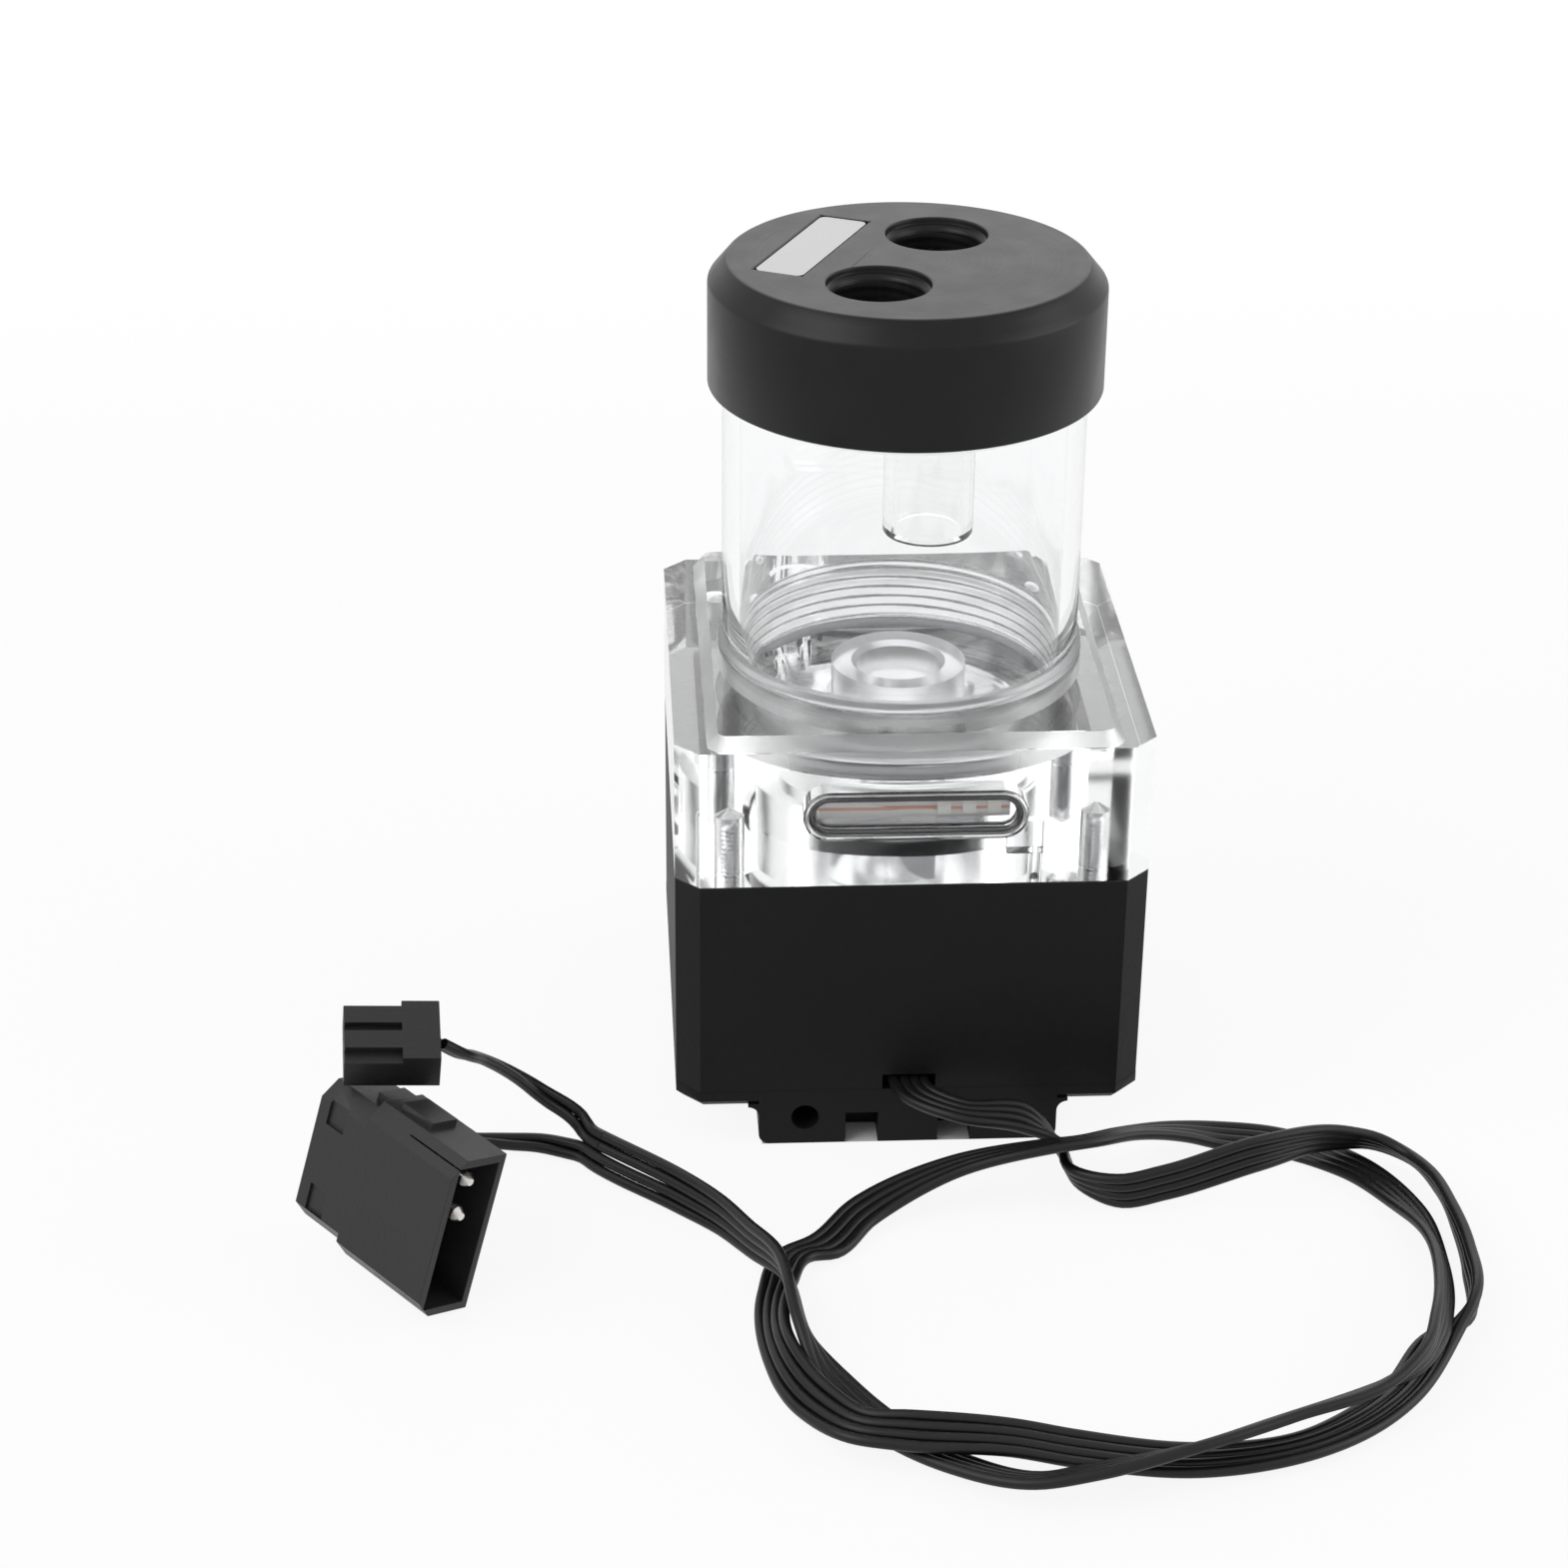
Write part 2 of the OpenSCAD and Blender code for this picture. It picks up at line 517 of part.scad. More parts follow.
module fan_plug() {
  color([0.07, 0.07, 0.07]) fan_place() difference() {
    union() {
      cube([12.6, 10.2, 4.4]);
      translate([7.6, 0, 0]) cube([5, 10.2, 5.4]);
      translate([0, 1.9, 0]) cube([8, 3, 5.4]);
      translate([0, 6.3, 0]) cube([8, 2.6, 5.4]);
    }
    // four contact cavities
    for (k = [0:3]) translate([-1, 0.59 + k * 2.54, 1.2]) cube([9, 1.4, 2]);
    // wire entries
    for (k = [0, 1]) translate([7, 3.4 + k * 1.75, 1.4]) cube([6, 1.6, 1.9]);
    // latch windows
    for (k = [0:3]) translate([3.2, 0.75 + k * 2.54, -1]) cube([2.6, 1.1, 1.8]);
  }
}

module fan_contacts() {
  color([0.85, 0.7, 0.3]) fan_place() for (k = [1, 2]) translate([0.6, 0.69 + k * 2.54, 1.2]) difference() {
    cube([6.6, 1.2, 1.8]);
    translate([-1, 0.3, 0.5]) cube([5, 0.6, 0.8]);
  }
}

// Frame of the four-way power plug: X toward the mouth, Z down its long side.
module power_place() {
  translate([-78.8, -54.1, 26.6]) rotate([-16.1, 4.9, -48.1]) mirror([0, 0, 1]) children();
}

module power_plug() {
  w = plug_w; t = 9; l = 26; c = 2.3;
  color([0.08, 0.08, 0.08]) power_place() difference() {
    union() {
      // hood with two cut corners on the broad face toward the viewer side
      translate([9, 0, 0]) rotate([90, 0, 90]) linear_extrude(height = l - 9)
        polygon([[c, 0], [t, 0], [t, w], [c, w], [0, w - c], [0, c]]);
      translate([0, 0, 1.2]) rotate([90, 0, 90]) linear_extrude(height = 10)
        polygon([[c, 0], [t, 0], [t, w - 2.4], [c, w - 2.4], [0, w - 2.4 - c], [0, c]]);
      // grip rib and latch on the narrow side
      translate([6.4, 3.6, 0.2]) cube([3, 4.6, 2]);
      translate([11.5, 3.2, -0.9]) cube([6, 4.4, 1.2]);
    }
    // mouth
    translate([16, 1.1, 1.1]) cube([20, t - 2.1, w - 2.2]);
    // cavities that hold the pins
    for (k = [0:3]) translate([-1, 2.7, w / 2 - 7.62 - 1.7 + k * 5.08]) cube([13, 3.4, 3.4]);
    // two shallow L recesses by the wire end
    translate([2, -1, 2.8]) cube([3.4, 1.4, 3.8]);
    translate([2, -1, w - 7.4]) cube([3.4, 1.4, 3.8]);
  }
}

module power_pins() {
  color([0.83, 0.8, 0.76]) power_place() for (k = [0, 1]) translate([0, 4.4, w_pin(k)]) rotate([0, 90, 0]) {
    translate([0, 0, 12]) cylinder(r = 1.05, h = 12.4, $fn = 24);
    translate([0, 0, 2]) cylinder(r = 1.65, h = 10, $fn = 24);
    translate([0, 0, 24.4]) cylinder(r1 = 1.05, r2 = 0.5, h = 0.9, $fn = 24);
  }
}
function w_pin(k) = plug_w / 2 - 7.62 + k * 5.08;

bottom_cover();
pump_housing();
thermal_pad();
control_board();
board_parts();
wire_header();
cable_clamp();
board_screws();
stator_core();
stator_coils();
stator_frame();
dry_cup();
shaft();
housing_oring();
rotor_magnet();
rotor_bushing();
impeller();
pump_top();
corner_screws();
window_rim();
window_lens();
light_board();
light_leds();
tube_seal();
reservoir_tube();
cap_seal();
cap();
cap_plate();
down_tube();
cable_trunk();
fan_branch();
power_branch();
fan_plug();
fan_contacts();
power_plug();
power_pins();
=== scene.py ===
"""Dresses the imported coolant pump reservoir: pump, clear top, clear tube, cap and flat cable."""
import logging
import math
from dataclasses import dataclass
from enum import Enum
from typing import Optional, Sequence, Union

import bpy
import numpy as np
from mathutils import Matrix, Vector


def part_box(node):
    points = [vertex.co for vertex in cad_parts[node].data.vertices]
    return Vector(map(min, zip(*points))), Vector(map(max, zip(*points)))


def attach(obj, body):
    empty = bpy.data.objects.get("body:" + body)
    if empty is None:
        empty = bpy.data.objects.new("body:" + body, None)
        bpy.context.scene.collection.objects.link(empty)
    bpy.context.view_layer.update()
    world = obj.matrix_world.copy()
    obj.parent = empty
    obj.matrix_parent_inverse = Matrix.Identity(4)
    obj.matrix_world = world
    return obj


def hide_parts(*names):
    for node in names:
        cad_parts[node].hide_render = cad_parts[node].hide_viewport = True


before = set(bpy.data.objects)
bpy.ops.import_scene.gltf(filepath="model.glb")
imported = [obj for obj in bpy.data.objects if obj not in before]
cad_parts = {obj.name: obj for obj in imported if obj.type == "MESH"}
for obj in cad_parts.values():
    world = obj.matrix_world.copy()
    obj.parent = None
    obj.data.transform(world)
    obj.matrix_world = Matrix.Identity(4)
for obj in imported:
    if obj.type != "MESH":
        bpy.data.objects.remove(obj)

LOG = logging.getLogger("reservoir")
Colour = tuple[float, float, float]
Value = Union[float, tuple, bpy.types.NodeSocket]

# Route of the ribbon's centre line in metres, with the lean of its width in degrees.
TRUNK = [
    (0, -.0259, .0097, 0), (0, -.030, .0097, 0), (.0003, -.0338, .0096, -2), (.0066, -.0396, .0093, -6),
    (.0157, -.0393, .0076, 8), (.0205, -.0406, .0036, -58), (.0218, -.0473, .0031, -58),
    (.0276, -.0513, .0032, -78), (.0335, -.051, .0042, -84), (.047, -.0479, .0066, -86),
    (.0594, -.0424, .0052, -56), (.0649, -.0418, .004, -44), (.0684, -.0437, .0032, -46),
    (.0711, -.050, .003, -62), (.0719, -.0594, .0031, -76), (.0716, -.0689, .0031, -88),
    (.0686, -.0812, .0031, -108), (.066, -.0833, .0024, -138), (.0569, -.0956, .0013, -168),
    (.0516, -.1005, .0013, -172), (.0438, -.1053, .0014, -170), (.0295, -.1082, .0017, -182),
    (.0143, -.1067, .0028, -189), (.007, -.1055, .0037, -190), (-.0063, -.1046, .0046, -197),
    (-.012, -.103, .0043, -190), (-.0166, -.0971, .0034, -205), (-.021, -.0842, .0028, -236),
    (-.0203, -.0701, .0018, -208), (-.0172, -.0619, .0014, -192), (-.0138, -.0603, .0013, -182),
    (-.0078, -.0534, .0022, -177), (.005, -.048, .0056, -193), (.0173, -.0479, .0084, -204),
    (.023, -.0466, .0083, -206), (.0298, -.0416, .0062, -202), (.0378, -.0371, .0034, -188),
    (.044, -.0356, .0016, -176), (.051, -.0362, .001, -176), (.0614, -.0433, .0009, -183),
    (.0664, -.0542, .0017, -200), (.0674, -.0675, .0039, -240), (.0654, -.081, .0059, -250),
    (.0627, -.0894, .0069, -258), (.059, -.0958, .0067, -285), (.0546, -.099, .0059, -312),
    (.0405, -.1052, .0053, -318), (.0278, -.1107, .0053, -319), (.0157, -.1131, .0042, -331),
    (.0095, -.1131, .0031, -334), (-.0004, -.1074, .0016, -340), (-.0104, -.0965, .0013, -348),
    (-.014, -.0906, .0017, -340), (-.0175, -.0836, .0044, -296), (-.0199, -.0707, .0062, -284),
    (-.0234, -.0632, .0048, -274), (-.0276, -.0551, .0037, -262), (-.0326, -.0487, .0031, -246),
    (-.0434, -.0381, .0029, -240), (-.0455, -.0355, .00285, -240),
]
FAN_BRANCH = [
    (-.0449, -.035, .0041, -240), (-.0462, -.0333, .0052, -236), (-.0509, -.0332, .0092, -222),
    (-.0551, -.037, .0151, -205), (-.0593, -.0434, .0217, -188), (-.0621, -.0496, .0266, -175),
    (-.06415, -.05095, .0288, -162),
]
POWER_BRANCH = [
    (-.0461, -.036, .0016, -240), (-.0481, -.035, .0016, -225), (-.0515, -.0338, .0017, -205),
    (-.056, -.0335, .0019, -188), (-.061, -.0336, .0024, -168), (-.066, -.0344, .0034, -150),
    (-.0715, -.0373, .006, -138), (-.0756, -.0416, .0103, -126), (-.0782, -.0464, .015, -114),
    (-.07739, -.052, .01926, -106),
]


# ---------- meshes ----------
def new_piece(name: str, points: np.ndarray, faces: list, sharp: float = 40.0) -> bpy.types.Object:
    """Puts a computed surface into the scene as a smooth object at the origin.

    Args:
        name: Name of the piece.
        points: Vertices, one row each, in metres.
        faces: Vertex numbers of each face.
        sharp: Edges bent by more than this many degrees stay sharp.

    Returns:
        The new object.
    """
    mesh = bpy.data.meshes.new(name)
    mesh.from_pydata(points.tolist(), [], faces)
    mesh.update()
    mesh.polygons.foreach_set("use_smooth", np.ones(len(mesh.polygons), dtype=bool))
    mesh.set_sharp_from_angle(angle=math.radians(sharp))
    piece = bpy.data.objects.new(name, mesh)
    bpy.context.scene.collection.objects.link(piece)
    return piece


def grid_faces(rows: int, columns: int, close_rows: bool) -> np.ndarray:
    """Quads of a grid whose columns close on themselves.

    Args:
        rows: Number of rings.
        columns: Number of points round each ring.
        close_rows: Whether the last ring joins the first.

    Returns:
        An array of four vertex numbers a face.
    """
    i = np.arange(rows if close_rows else rows - 1)[:, None]
    j = np.arange(columns)[None, :]
    below, above = i * columns, ((i + 1) % rows) * columns
    after = (j + 1) % columns
    return np.stack([below + j, below + after, above + after, above + j], axis=-1).reshape(-1, 4)


def smooth_path(knots: np.ndarray, step: float) -> np.ndarray:
    """Carries a smooth curve through given rows: a cubic over each chord, whose end slopes are the
    slopes of the rows against the length along the chords.

    Args:
        knots: Rows to pass through; the first three columns are a place in metres.
        step: Spacing of the points given back, in metres.

    Returns:
        The rows along the curve.
    """
    chord = np.linalg.norm(np.diff(knots[:, :3], axis=0), axis=1)
    at = np.concatenate([[0.0], np.cumsum(chord)])
    slope = np.gradient(knots, at, axis=0)
    u = np.linspace(0.0, at[-1], int(at[-1] / step) + 2)
    i = np.clip(np.searchsorted(at, u, side="right") - 1, 0, len(chord) - 1)
    h = chord[i][:, None]
    x = (u - at[i])[:, None] / h
    return (knots[i] * (2 * x ** 3 - 3 * x ** 2 + 1) + slope[i] * h * (x ** 3 - 2 * x ** 2 + x)
            + knots[i + 1] * (3 * x ** 2 - 2 * x ** 3) + slope[i + 1] * h * (x ** 3 - x ** 2))


def unit_rows(rows: np.ndarray) -> np.ndarray:
    """Scales each row to length one."""
    return rows / np.linalg.norm(rows, axis=1, keepdims=True)


def ribbon_frame(route: Sequence[tuple]) -> tuple[np.ndarray, np.ndarray]:
    """Places and width directions of a flat cable's rings. The width is the level direction square
    to the tangent, turned about the tangent by the lean.

    Args:
        route: Rows of x, y, z in metres and the lean in degrees.

    Returns:
        The centres, and the unit width directions.
    """
    rows = np.array(route, dtype=float)
    centre, lean = rows[:, :3], np.radians(rows[:, 3:4])
    padded = np.vstack([centre[:1], centre, centre[-1:]])
    tangent = unit_rows(padded[2:] - padded[:-2])
    level = unit_rows(np.column_stack([-tangent[:, 1], tangent[:, 0], np.zeros(len(rows))]))
    return centre, level * np.cos(lean) + np.cross(tangent, level) * np.sin(lean)


def round_wire(centre: np.ndarray, width: np.ndarray, radius: float, sides: int = 14) -> tuple[np.ndarray, np.ndarray]:
    """A round wire on a smooth path: each ring is the radius times cosine along the width direction
    and sine along its cross product with the tangent.

    Args:
        centre: Rows that the wire's middle passes through.
        width: A direction across the wire at each of them.
        radius: Radius in metres.
        sides: Points round a ring.

    Returns:
        The points as rings by sides by three, and the middle line.
    """
    rows = smooth_path(np.hstack([centre, width]), 0.0011)
    middle = rows[:, :3]
    tangent = unit_rows(np.gradient(middle, axis=0))
    across = rows[:, 3:]
    across = unit_rows(across - tangent * np.sum(across * tangent, axis=1, keepdims=True))
    third = np.cross(tangent, across)
    angle = np.linspace(0.0, 2 * math.pi, sides, endpoint=False)[None, :, None]
    ring = middle[:, None, :] + radius * (np.cos(angle) * across[:, None, :] + np.sin(angle) * third[:, None, :])
    return ring, middle


def join_wires(name: str, wires: Sequence[np.ndarray]) -> bpy.types.Object:
    """Makes one piece of several wires, each closed by a flat end.

    Args:
        name: Name of the piece.
        wires: For each wire its points as rings by sides by three.

    Returns:
        The new object, with a UV map whose first value is the metres along the wire.
    """
    points, faces, along = [], [], []
    base = 0
    for ring in wires:
        rows, sides = ring.shape[:2]
        points.append(ring.reshape(-1, 3))
        run = np.concatenate([[0.0], np.cumsum(np.linalg.norm(np.diff(ring.mean(axis=1), axis=0), axis=1))])
        along.append(np.repeat(run, sides))
        faces += (grid_faces(rows, sides, False) + base).tolist()
        faces.append(list(range(base + sides - 1, base - 1, -1)))
        faces.append(list(range(base + (rows - 1) * sides, base + rows * sides)))
        base += rows * sides
    piece = new_piece(name, np.concatenate(points), faces, sharp=60.0)
    mesh = piece.data
    corner = np.zeros(len(mesh.loops), dtype=int)
    mesh.loops.foreach_get("vertex_index", corner)
    layer = mesh.uv_layers.new(name="UVMap")
    uv = np.column_stack([np.concatenate(along)[corner], np.zeros(len(corner))])
    layer.data.foreach_set("uv", uv.ravel())
    return piece


def thread_ridge(z: np.ndarray, turn: np.ndarray, pitch: float) -> np.ndarray:
    """Height from 0 to 1 of a single-start thread: a triangle wave, flattened at crest and root, of
    the height in pitches less the share of a turn.

    Args:
        z: Heights in metres.
        turn: Shares of a turn.
        pitch: Pitch in metres.

    Returns:
        The ridge height at each point.
    """
    phase = z / pitch - turn
    wave = np.abs((phase - np.floor(phase)) * 2 - 1)
    return np.clip(wave * 1.5 - 0.25, 0.0, 1.0)


# ---------- shader graphs ----------
class Graph:
    """Adds nodes to a node tree, sets their sockets and links them."""

    def __init__(self, tree: bpy.types.NodeTree) -> None:
        """Keeps the tree, emptied of its default nodes."""
        self.tree = tree
        tree.nodes.clear()

    def add(self, kind: str, inputs: Optional[dict] = None, **settings: object) -> bpy.types.Node:
        """Adds a node.

        Args:
            kind: Blender's type name of the node.
            inputs: For each socket, by name or number, a value or the socket that feeds it.
            **settings: Properties of the node itself.

        Returns:
            The node.
        """
        node = self.tree.nodes.new(kind)
        for key, value in settings.items():
            setattr(node, key, value)
        for key, value in (inputs or {}).items():
            self.feed(node.inputs[key], value)
        return node

    def feed(self, socket: bpy.types.NodeSocket, value: Value) -> None:
        """Links a socket where the value is one, and otherwise sets it."""
        if isinstance(value, bpy.types.NodeSocket):
            self.tree.links.new(value, socket)
        else:
            socket.default_value = value

    def math(self, operation: str, *values: Value) -> bpy.types.NodeSocket:
        """Adds a Math node and gives its output."""
        return self.add("ShaderNodeMath", dict(enumerate(values)), operation=operation).outputs[0]

    def place(self) -> bpy.types.NodeSocket:
        """Gives the Object coordinates."""
        return self.add("ShaderNodeTexCoord").outputs["Object"]

    def blend(self, share: Value, first: Value, second: Value) -> bpy.types.NodeSocket:
        """Mixes two colours, or sockets that carry one, by a share and gives the output."""
        mix = self.add("ShaderNodeMix", {"Factor": share}, data_type="RGBA")
        for key, colour in ((6, first), (7, second)):
            self.feed(mix.inputs[key], (*colour, 1.0) if isinstance(colour, tuple) else colour)
        return mix.outputs[2]

    def between(self, share: Value, low: float, high: float) -> bpy.types.NodeSocket:
        """Carries a share from 0 to 1 into a range and gives the output."""
        return self.add("ShaderNodeMapRange", {"Value": share, "To Min": low, "To Max": high}).outputs[0]

    def finish(self, surface: bpy.types.NodeSocket) -> None:
        """Adds the material's output."""
        self.add("ShaderNodeOutputMaterial", {"Surface": surface})


class Effect(Enum):
    """Surface patterns that finishes share."""

    GRAIN = "grain"
    TURNED = "turned"
    BRUSHED = "brushed"
    LAYERS = "layers"
    TRACES = "traces"


class Effects:
    """The shader node groups, each built once and used with its own values."""

    made: dict = {}

    @classmethod
    def group(cls, name: str, numbers: Sequence[str]) -> tuple[bpy.types.NodeTree, Graph, bpy.types.Node]:
        """Starts a group with a Vector input, number inputs and the outputs Mask and Height.

        Args:
            name: Name of the group.
            numbers: Names of its number inputs.

        Returns:
            The tree, its graph and its input node.
        """
        tree = bpy.data.node_groups.new(name, "ShaderNodeTree")
        tree.interface.new_socket("Vector", in_out="INPUT", socket_type="NodeSocketVector")
        for number in numbers:
            tree.interface.new_socket(number, in_out="INPUT", socket_type="NodeSocketFloat")
        for output in ("Mask", "Height"):
            tree.interface.new_socket(output, in_out="OUTPUT", socket_type="NodeSocketFloat")
        graph = Graph(tree)
        return tree, graph, graph.add("NodeGroupInput")

    @classmethod
    def get(cls, effect: str) -> bpy.types.NodeTree:
        """Gives a group by name, and builds it the first time."""
        if effect not in cls.made:
            cls.made[effect] = getattr(cls, "_" + effect)()
        return cls.made[effect]

    @classmethod
    def _grain(cls) -> bpy.types.NodeTree:
        """Fine moulded or blasted grain over broad, faint mottling."""
        tree, g, source = cls.group("grain", ["Scale"])
        fine = g.add("ShaderNodeTexNoise", {"Vector": source.outputs[0], "Scale": source.outputs[1],
                                            "Detail": 3.0, "Roughness": 0.6})
        broad = g.add("ShaderNodeTexNoise", {"Vector": source.outputs[0],
                                             "Scale": g.math("MULTIPLY", source.outputs[1], 0.04), "Detail": 4.0})
        mask = g.math("ADD", g.math("MULTIPLY", fine.outputs[0], 0.45), g.math("MULTIPLY", broad.outputs[0], 0.55))
        g.add("NodeGroupOutput", {0: g.between(mask, -0.6, 1.6), 1: fine.outputs[0]})
        return tree

    @classmethod
    def _turned(cls) -> bpy.types.NodeTree:
        """Rings about the upright axis, as a lathe tool leaves them: noise of the radius alone."""
        tree, g, source = cls.group("turned", ["Scale"])
        axes = g.add("ShaderNodeSeparateXYZ", {0: source.outputs[0]}).outputs
        radius = g.math("SQRT", g.math("ADD", g.math("POWER", axes[0], 2.0), g.math("POWER", axes[1], 2.0)))
        rings = g.add("ShaderNodeTexNoise", {"W": radius, "Scale": source.outputs[1], "Detail": 2.0},
                      noise_dimensions="1D")
        bands = g.add("ShaderNodeTexNoise", {"W": axes[2], "Scale": source.outputs[1], "Detail": 1.0},
                      noise_dimensions="1D")
        grain = g.add("ShaderNodeTexNoise", {"Vector": source.outputs[0], "Scale": 220.0, "Detail": 4.0})
        height = g.math("ADD", g.math("MULTIPLY", rings.outputs[0], 0.7), g.math("MULTIPLY", bands.outputs[0], 0.3))
        g.add("NodeGroupOutput", {0: g.between(g.math("MULTIPLY_ADD", height, 0.4, g.math(
            "MULTIPLY", grain.outputs[0], 0.6)), -0.5, 1.5), 1: height})
        return tree

    @classmethod
    def _brushed(cls) -> bpy.types.NodeTree:
        """Straight streaks along X: noise whose place is squeezed to a fiftieth on X."""
        tree, g, source = cls.group("brushed", ["Scale"])
        squeezed = g.add("ShaderNodeVectorMath", {0: source.outputs[0], 1: (0.02, 1.0, 1.0)}, operation="MULTIPLY")
        streak = g.add("ShaderNodeTexNoise", {"Vector": squeezed.outputs[0], "Scale": source.outputs[1],
                                              "Detail": 5.0, "Roughness": 0.7})
        g.add("NodeGroupOutput", {0: g.between(streak.outputs[0], -0.8, 1.8), 1: streak.outputs[0]})
        return tree

    @classmethod
    def _layers(cls) -> bpy.types.NodeTree:
        """Even layers along Z, such as laminations or turns of wire; the colour darkens at each gap between them,
        painted shade between turns of wire and a dark joint between laminations, times a faint random noise.
        """
        tree, g, source = cls.group("layers", ["Scale"])
        axes = g.add("ShaderNodeSeparateXYZ", {0: source.outputs[0]}).outputs
        # The colour darkens towards each gap between layers: painted shade in the creases between turns of wire, a
        # dark joint between laminations.
        wave = g.math("ABSOLUTE", g.math("SINE", g.math("MULTIPLY", axes[2], source.outputs[1])))
        dirt = g.add("ShaderNodeTexNoise", {"Vector": source.outputs[0], "Scale": 300.0, "Detail": 3.0})
        g.add("NodeGroupOutput", {0: g.math("MULTIPLY", g.math("POWER", wave, 0.5), dirt.outputs[0]), 1: wave})
        return tree

    @classmethod
    def _traces(cls) -> bpy.types.NodeTree:
        """Square-cornered tracks of a printed board."""
        tree, g, source = cls.group("traces", ["Scale"])
        bricks = g.add("ShaderNodeTexBrick", {
            "Vector": source.outputs[0], "Scale": source.outputs[1], "Mortar Size": 0.035,
            "Color1": (0, 0, 0, 1), "Color2": (0.25, 0.25, 0.25, 1), "Mortar": (1, 1, 1, 1)})
        grey = g.add("ShaderNodeRGBToBW", {0: bricks.outputs[0]})
        g.add("NodeGroupOutput", {0: grey.outputs[0], 1: grey.outputs[0]})
        return tree

    @classmethod
    def _helix(cls) -> bpy.types.NodeTree:
        """Thread grooves about an upright axis: a triangle wave of height in pitches less the turn,
        only within a range of radius."""
        tree, g, source = cls.group("helix", ["Pitch", "Inner", "Outer"])
        axes = g.add("ShaderNodeSeparateXYZ", {0: source.outputs[0]}).outputs
        radius = g.math("SQRT", g.math("ADD", g.math("POWER", axes[0], 2.0), g.math("POWER", axes[1], 2.0)))
        turn = g.math("DIVIDE", g.math("ARCTAN2", axes[1], axes[0]), 2 * math.pi)
        phase = g.math("FRACT", g.math("SUBTRACT", g.math("DIVIDE", axes[2], source.outputs[1]), turn))
        wave = g.math("ABSOLUTE", g.math("MULTIPLY_ADD", phase, 2.0, -1.0))
        inside = g.math("MULTIPLY", g.math("GREATER_THAN", radius, source.outputs[2]),
                        g.math("LESS_THAN", radius, source.outputs[3]))
        g.add("NodeGroupOutput", {0: inside, 1: g.math("MULTIPLY", wave, inside)})
        return tree


@dataclass(frozen=True)
class Finish:
    """A finish with two tones, a range of roughness and a fine relief, all from one effect.

    Attributes:
        name: Name of the material.
        low: Colour where the effect's mask is 0.
        high: Colour where it is 1.
        rough: Lowest and highest roughness.
        metallic: Share of metal.
        specular: Reflection level.
        effect: The pattern.
        scale: Its scale, per metre.
        relief: Depth of the relief in metres.
        coat: Weight of a clear coat.
        coat_rough: Roughness of that coat.
        clear: Share of light let through.
        ior: Refractive index.
    """

    name: str
    low: Colour
    high: Colour
    rough: tuple[float, float] = (0.4, 0.55)
    metallic: float = 0.0
    specular: float = 0.5
    effect: Effect = Effect.GRAIN
    scale: float = 1800.0
    relief: float = 0.00002
    coat: float = 0.0
    coat_rough: float = 0.03
    clear: float = 0.0
    ior: float = 1.49

    def make(self) -> bpy.types.Material:
        """Builds the material and gives it."""
        material = bpy.data.materials.new(self.name)
        material.use_nodes = True
        graph = Graph(material.node_tree)
        pattern = graph.add("ShaderNodeGroup", node_tree=Effects.get(self.effect.value))
        graph.feed(pattern.inputs["Vector"], self.coordinates(graph))
        pattern.inputs["Scale"].default_value = self.scale
        bump = graph.add("ShaderNodeBump", {"Height": self.height(graph, pattern), "Distance": self.relief})
        shader = graph.add("ShaderNodeBsdfPrincipled", {
            "Base Color": self.colour(graph, pattern), "Coat Roughness": self.coat_rough,
            "Roughness": self.roughness(graph, pattern),
            "Metallic": self.metallic, "Specular IOR Level": self.specular, "IOR": self.ior,
            "Coat Weight": self.skin(graph), "Transmission Weight": self.clear, "Normal": bump.outputs[0]})
        graph.finish(shader.outputs[0])
        return material

    def coordinates(self, graph: Graph) -> bpy.types.NodeSocket:
        """Gives the place that the pattern reads."""
        return graph.place()

    def colour(self, graph: Graph, pattern: bpy.types.Node) -> bpy.types.NodeSocket:
        """Gives the colour between the two tones."""
        return graph.blend(pattern.outputs["Mask"], self.low, self.high)

    def skin(self, graph: Graph) -> Value:
        """Gives the weight of the clear coat."""
        return self.coat

    def roughness(self, graph: Graph, pattern: bpy.types.Node) -> bpy.types.NodeSocket:
        """Gives the roughness over its range."""
        return graph.between(pattern.outputs["Mask"], *self.rough)

    def height(self, graph: Graph, pattern: bpy.types.Node) -> bpy.types.NodeSocket:
        """Gives the height that the relief reads."""
        return pattern.outputs["Height"]


@dataclass(frozen=True)
class ThreadedFinish(Finish):
    """A turned finish with thread grooves in two bores.

    Attributes:
        bores: Places of the bores' axes, X and Y in metres.
        bore: Lowest and highest radius of the grooves.
        pitch: Pitch of the thread.
        depth: Depth of the thread against the relief.
    """

    bores: tuple = ()
    bore: tuple[float, float] = (0.0055, 0.0064)
    pitch: float = 0.001337
    depth: float = 6.0

    def height(self, graph: Graph, pattern: bpy.types.Node) -> bpy.types.NodeSocket:
        """Adds the grooves of each bore to the turning marks.

        Args:
            graph: Graph of the material.
            pattern: Node of the turning marks.

        Returns:
            The summed height.
        """
        total = pattern.outputs["Height"]
        for x, y in self.bores:
            moved = graph.add("ShaderNodeVectorMath", {0: graph.place(), 1: (x, y, 0.0)}, operation="SUBTRACT")
            groove = graph.add("ShaderNodeGroup", node_tree=Effects.get("helix"))
            graph.feed(groove.inputs["Vector"], moved.outputs[0])
            for key, value in (("Pitch", self.pitch), ("Inner", self.bore[0]), ("Outer", self.bore[1])):
                groove.inputs[key].default_value = value
            total = graph.math("MULTIPLY_ADD", groove.outputs["Height"], self.depth, total)
        return total


class Measure(Enum):
    """What a cut zone measures across the upright axis."""

    ROUND = "distance from the axis"
    SQUARE = "larger of the X and Y distances"
    CORNER = "distance from the nearest corner screw"


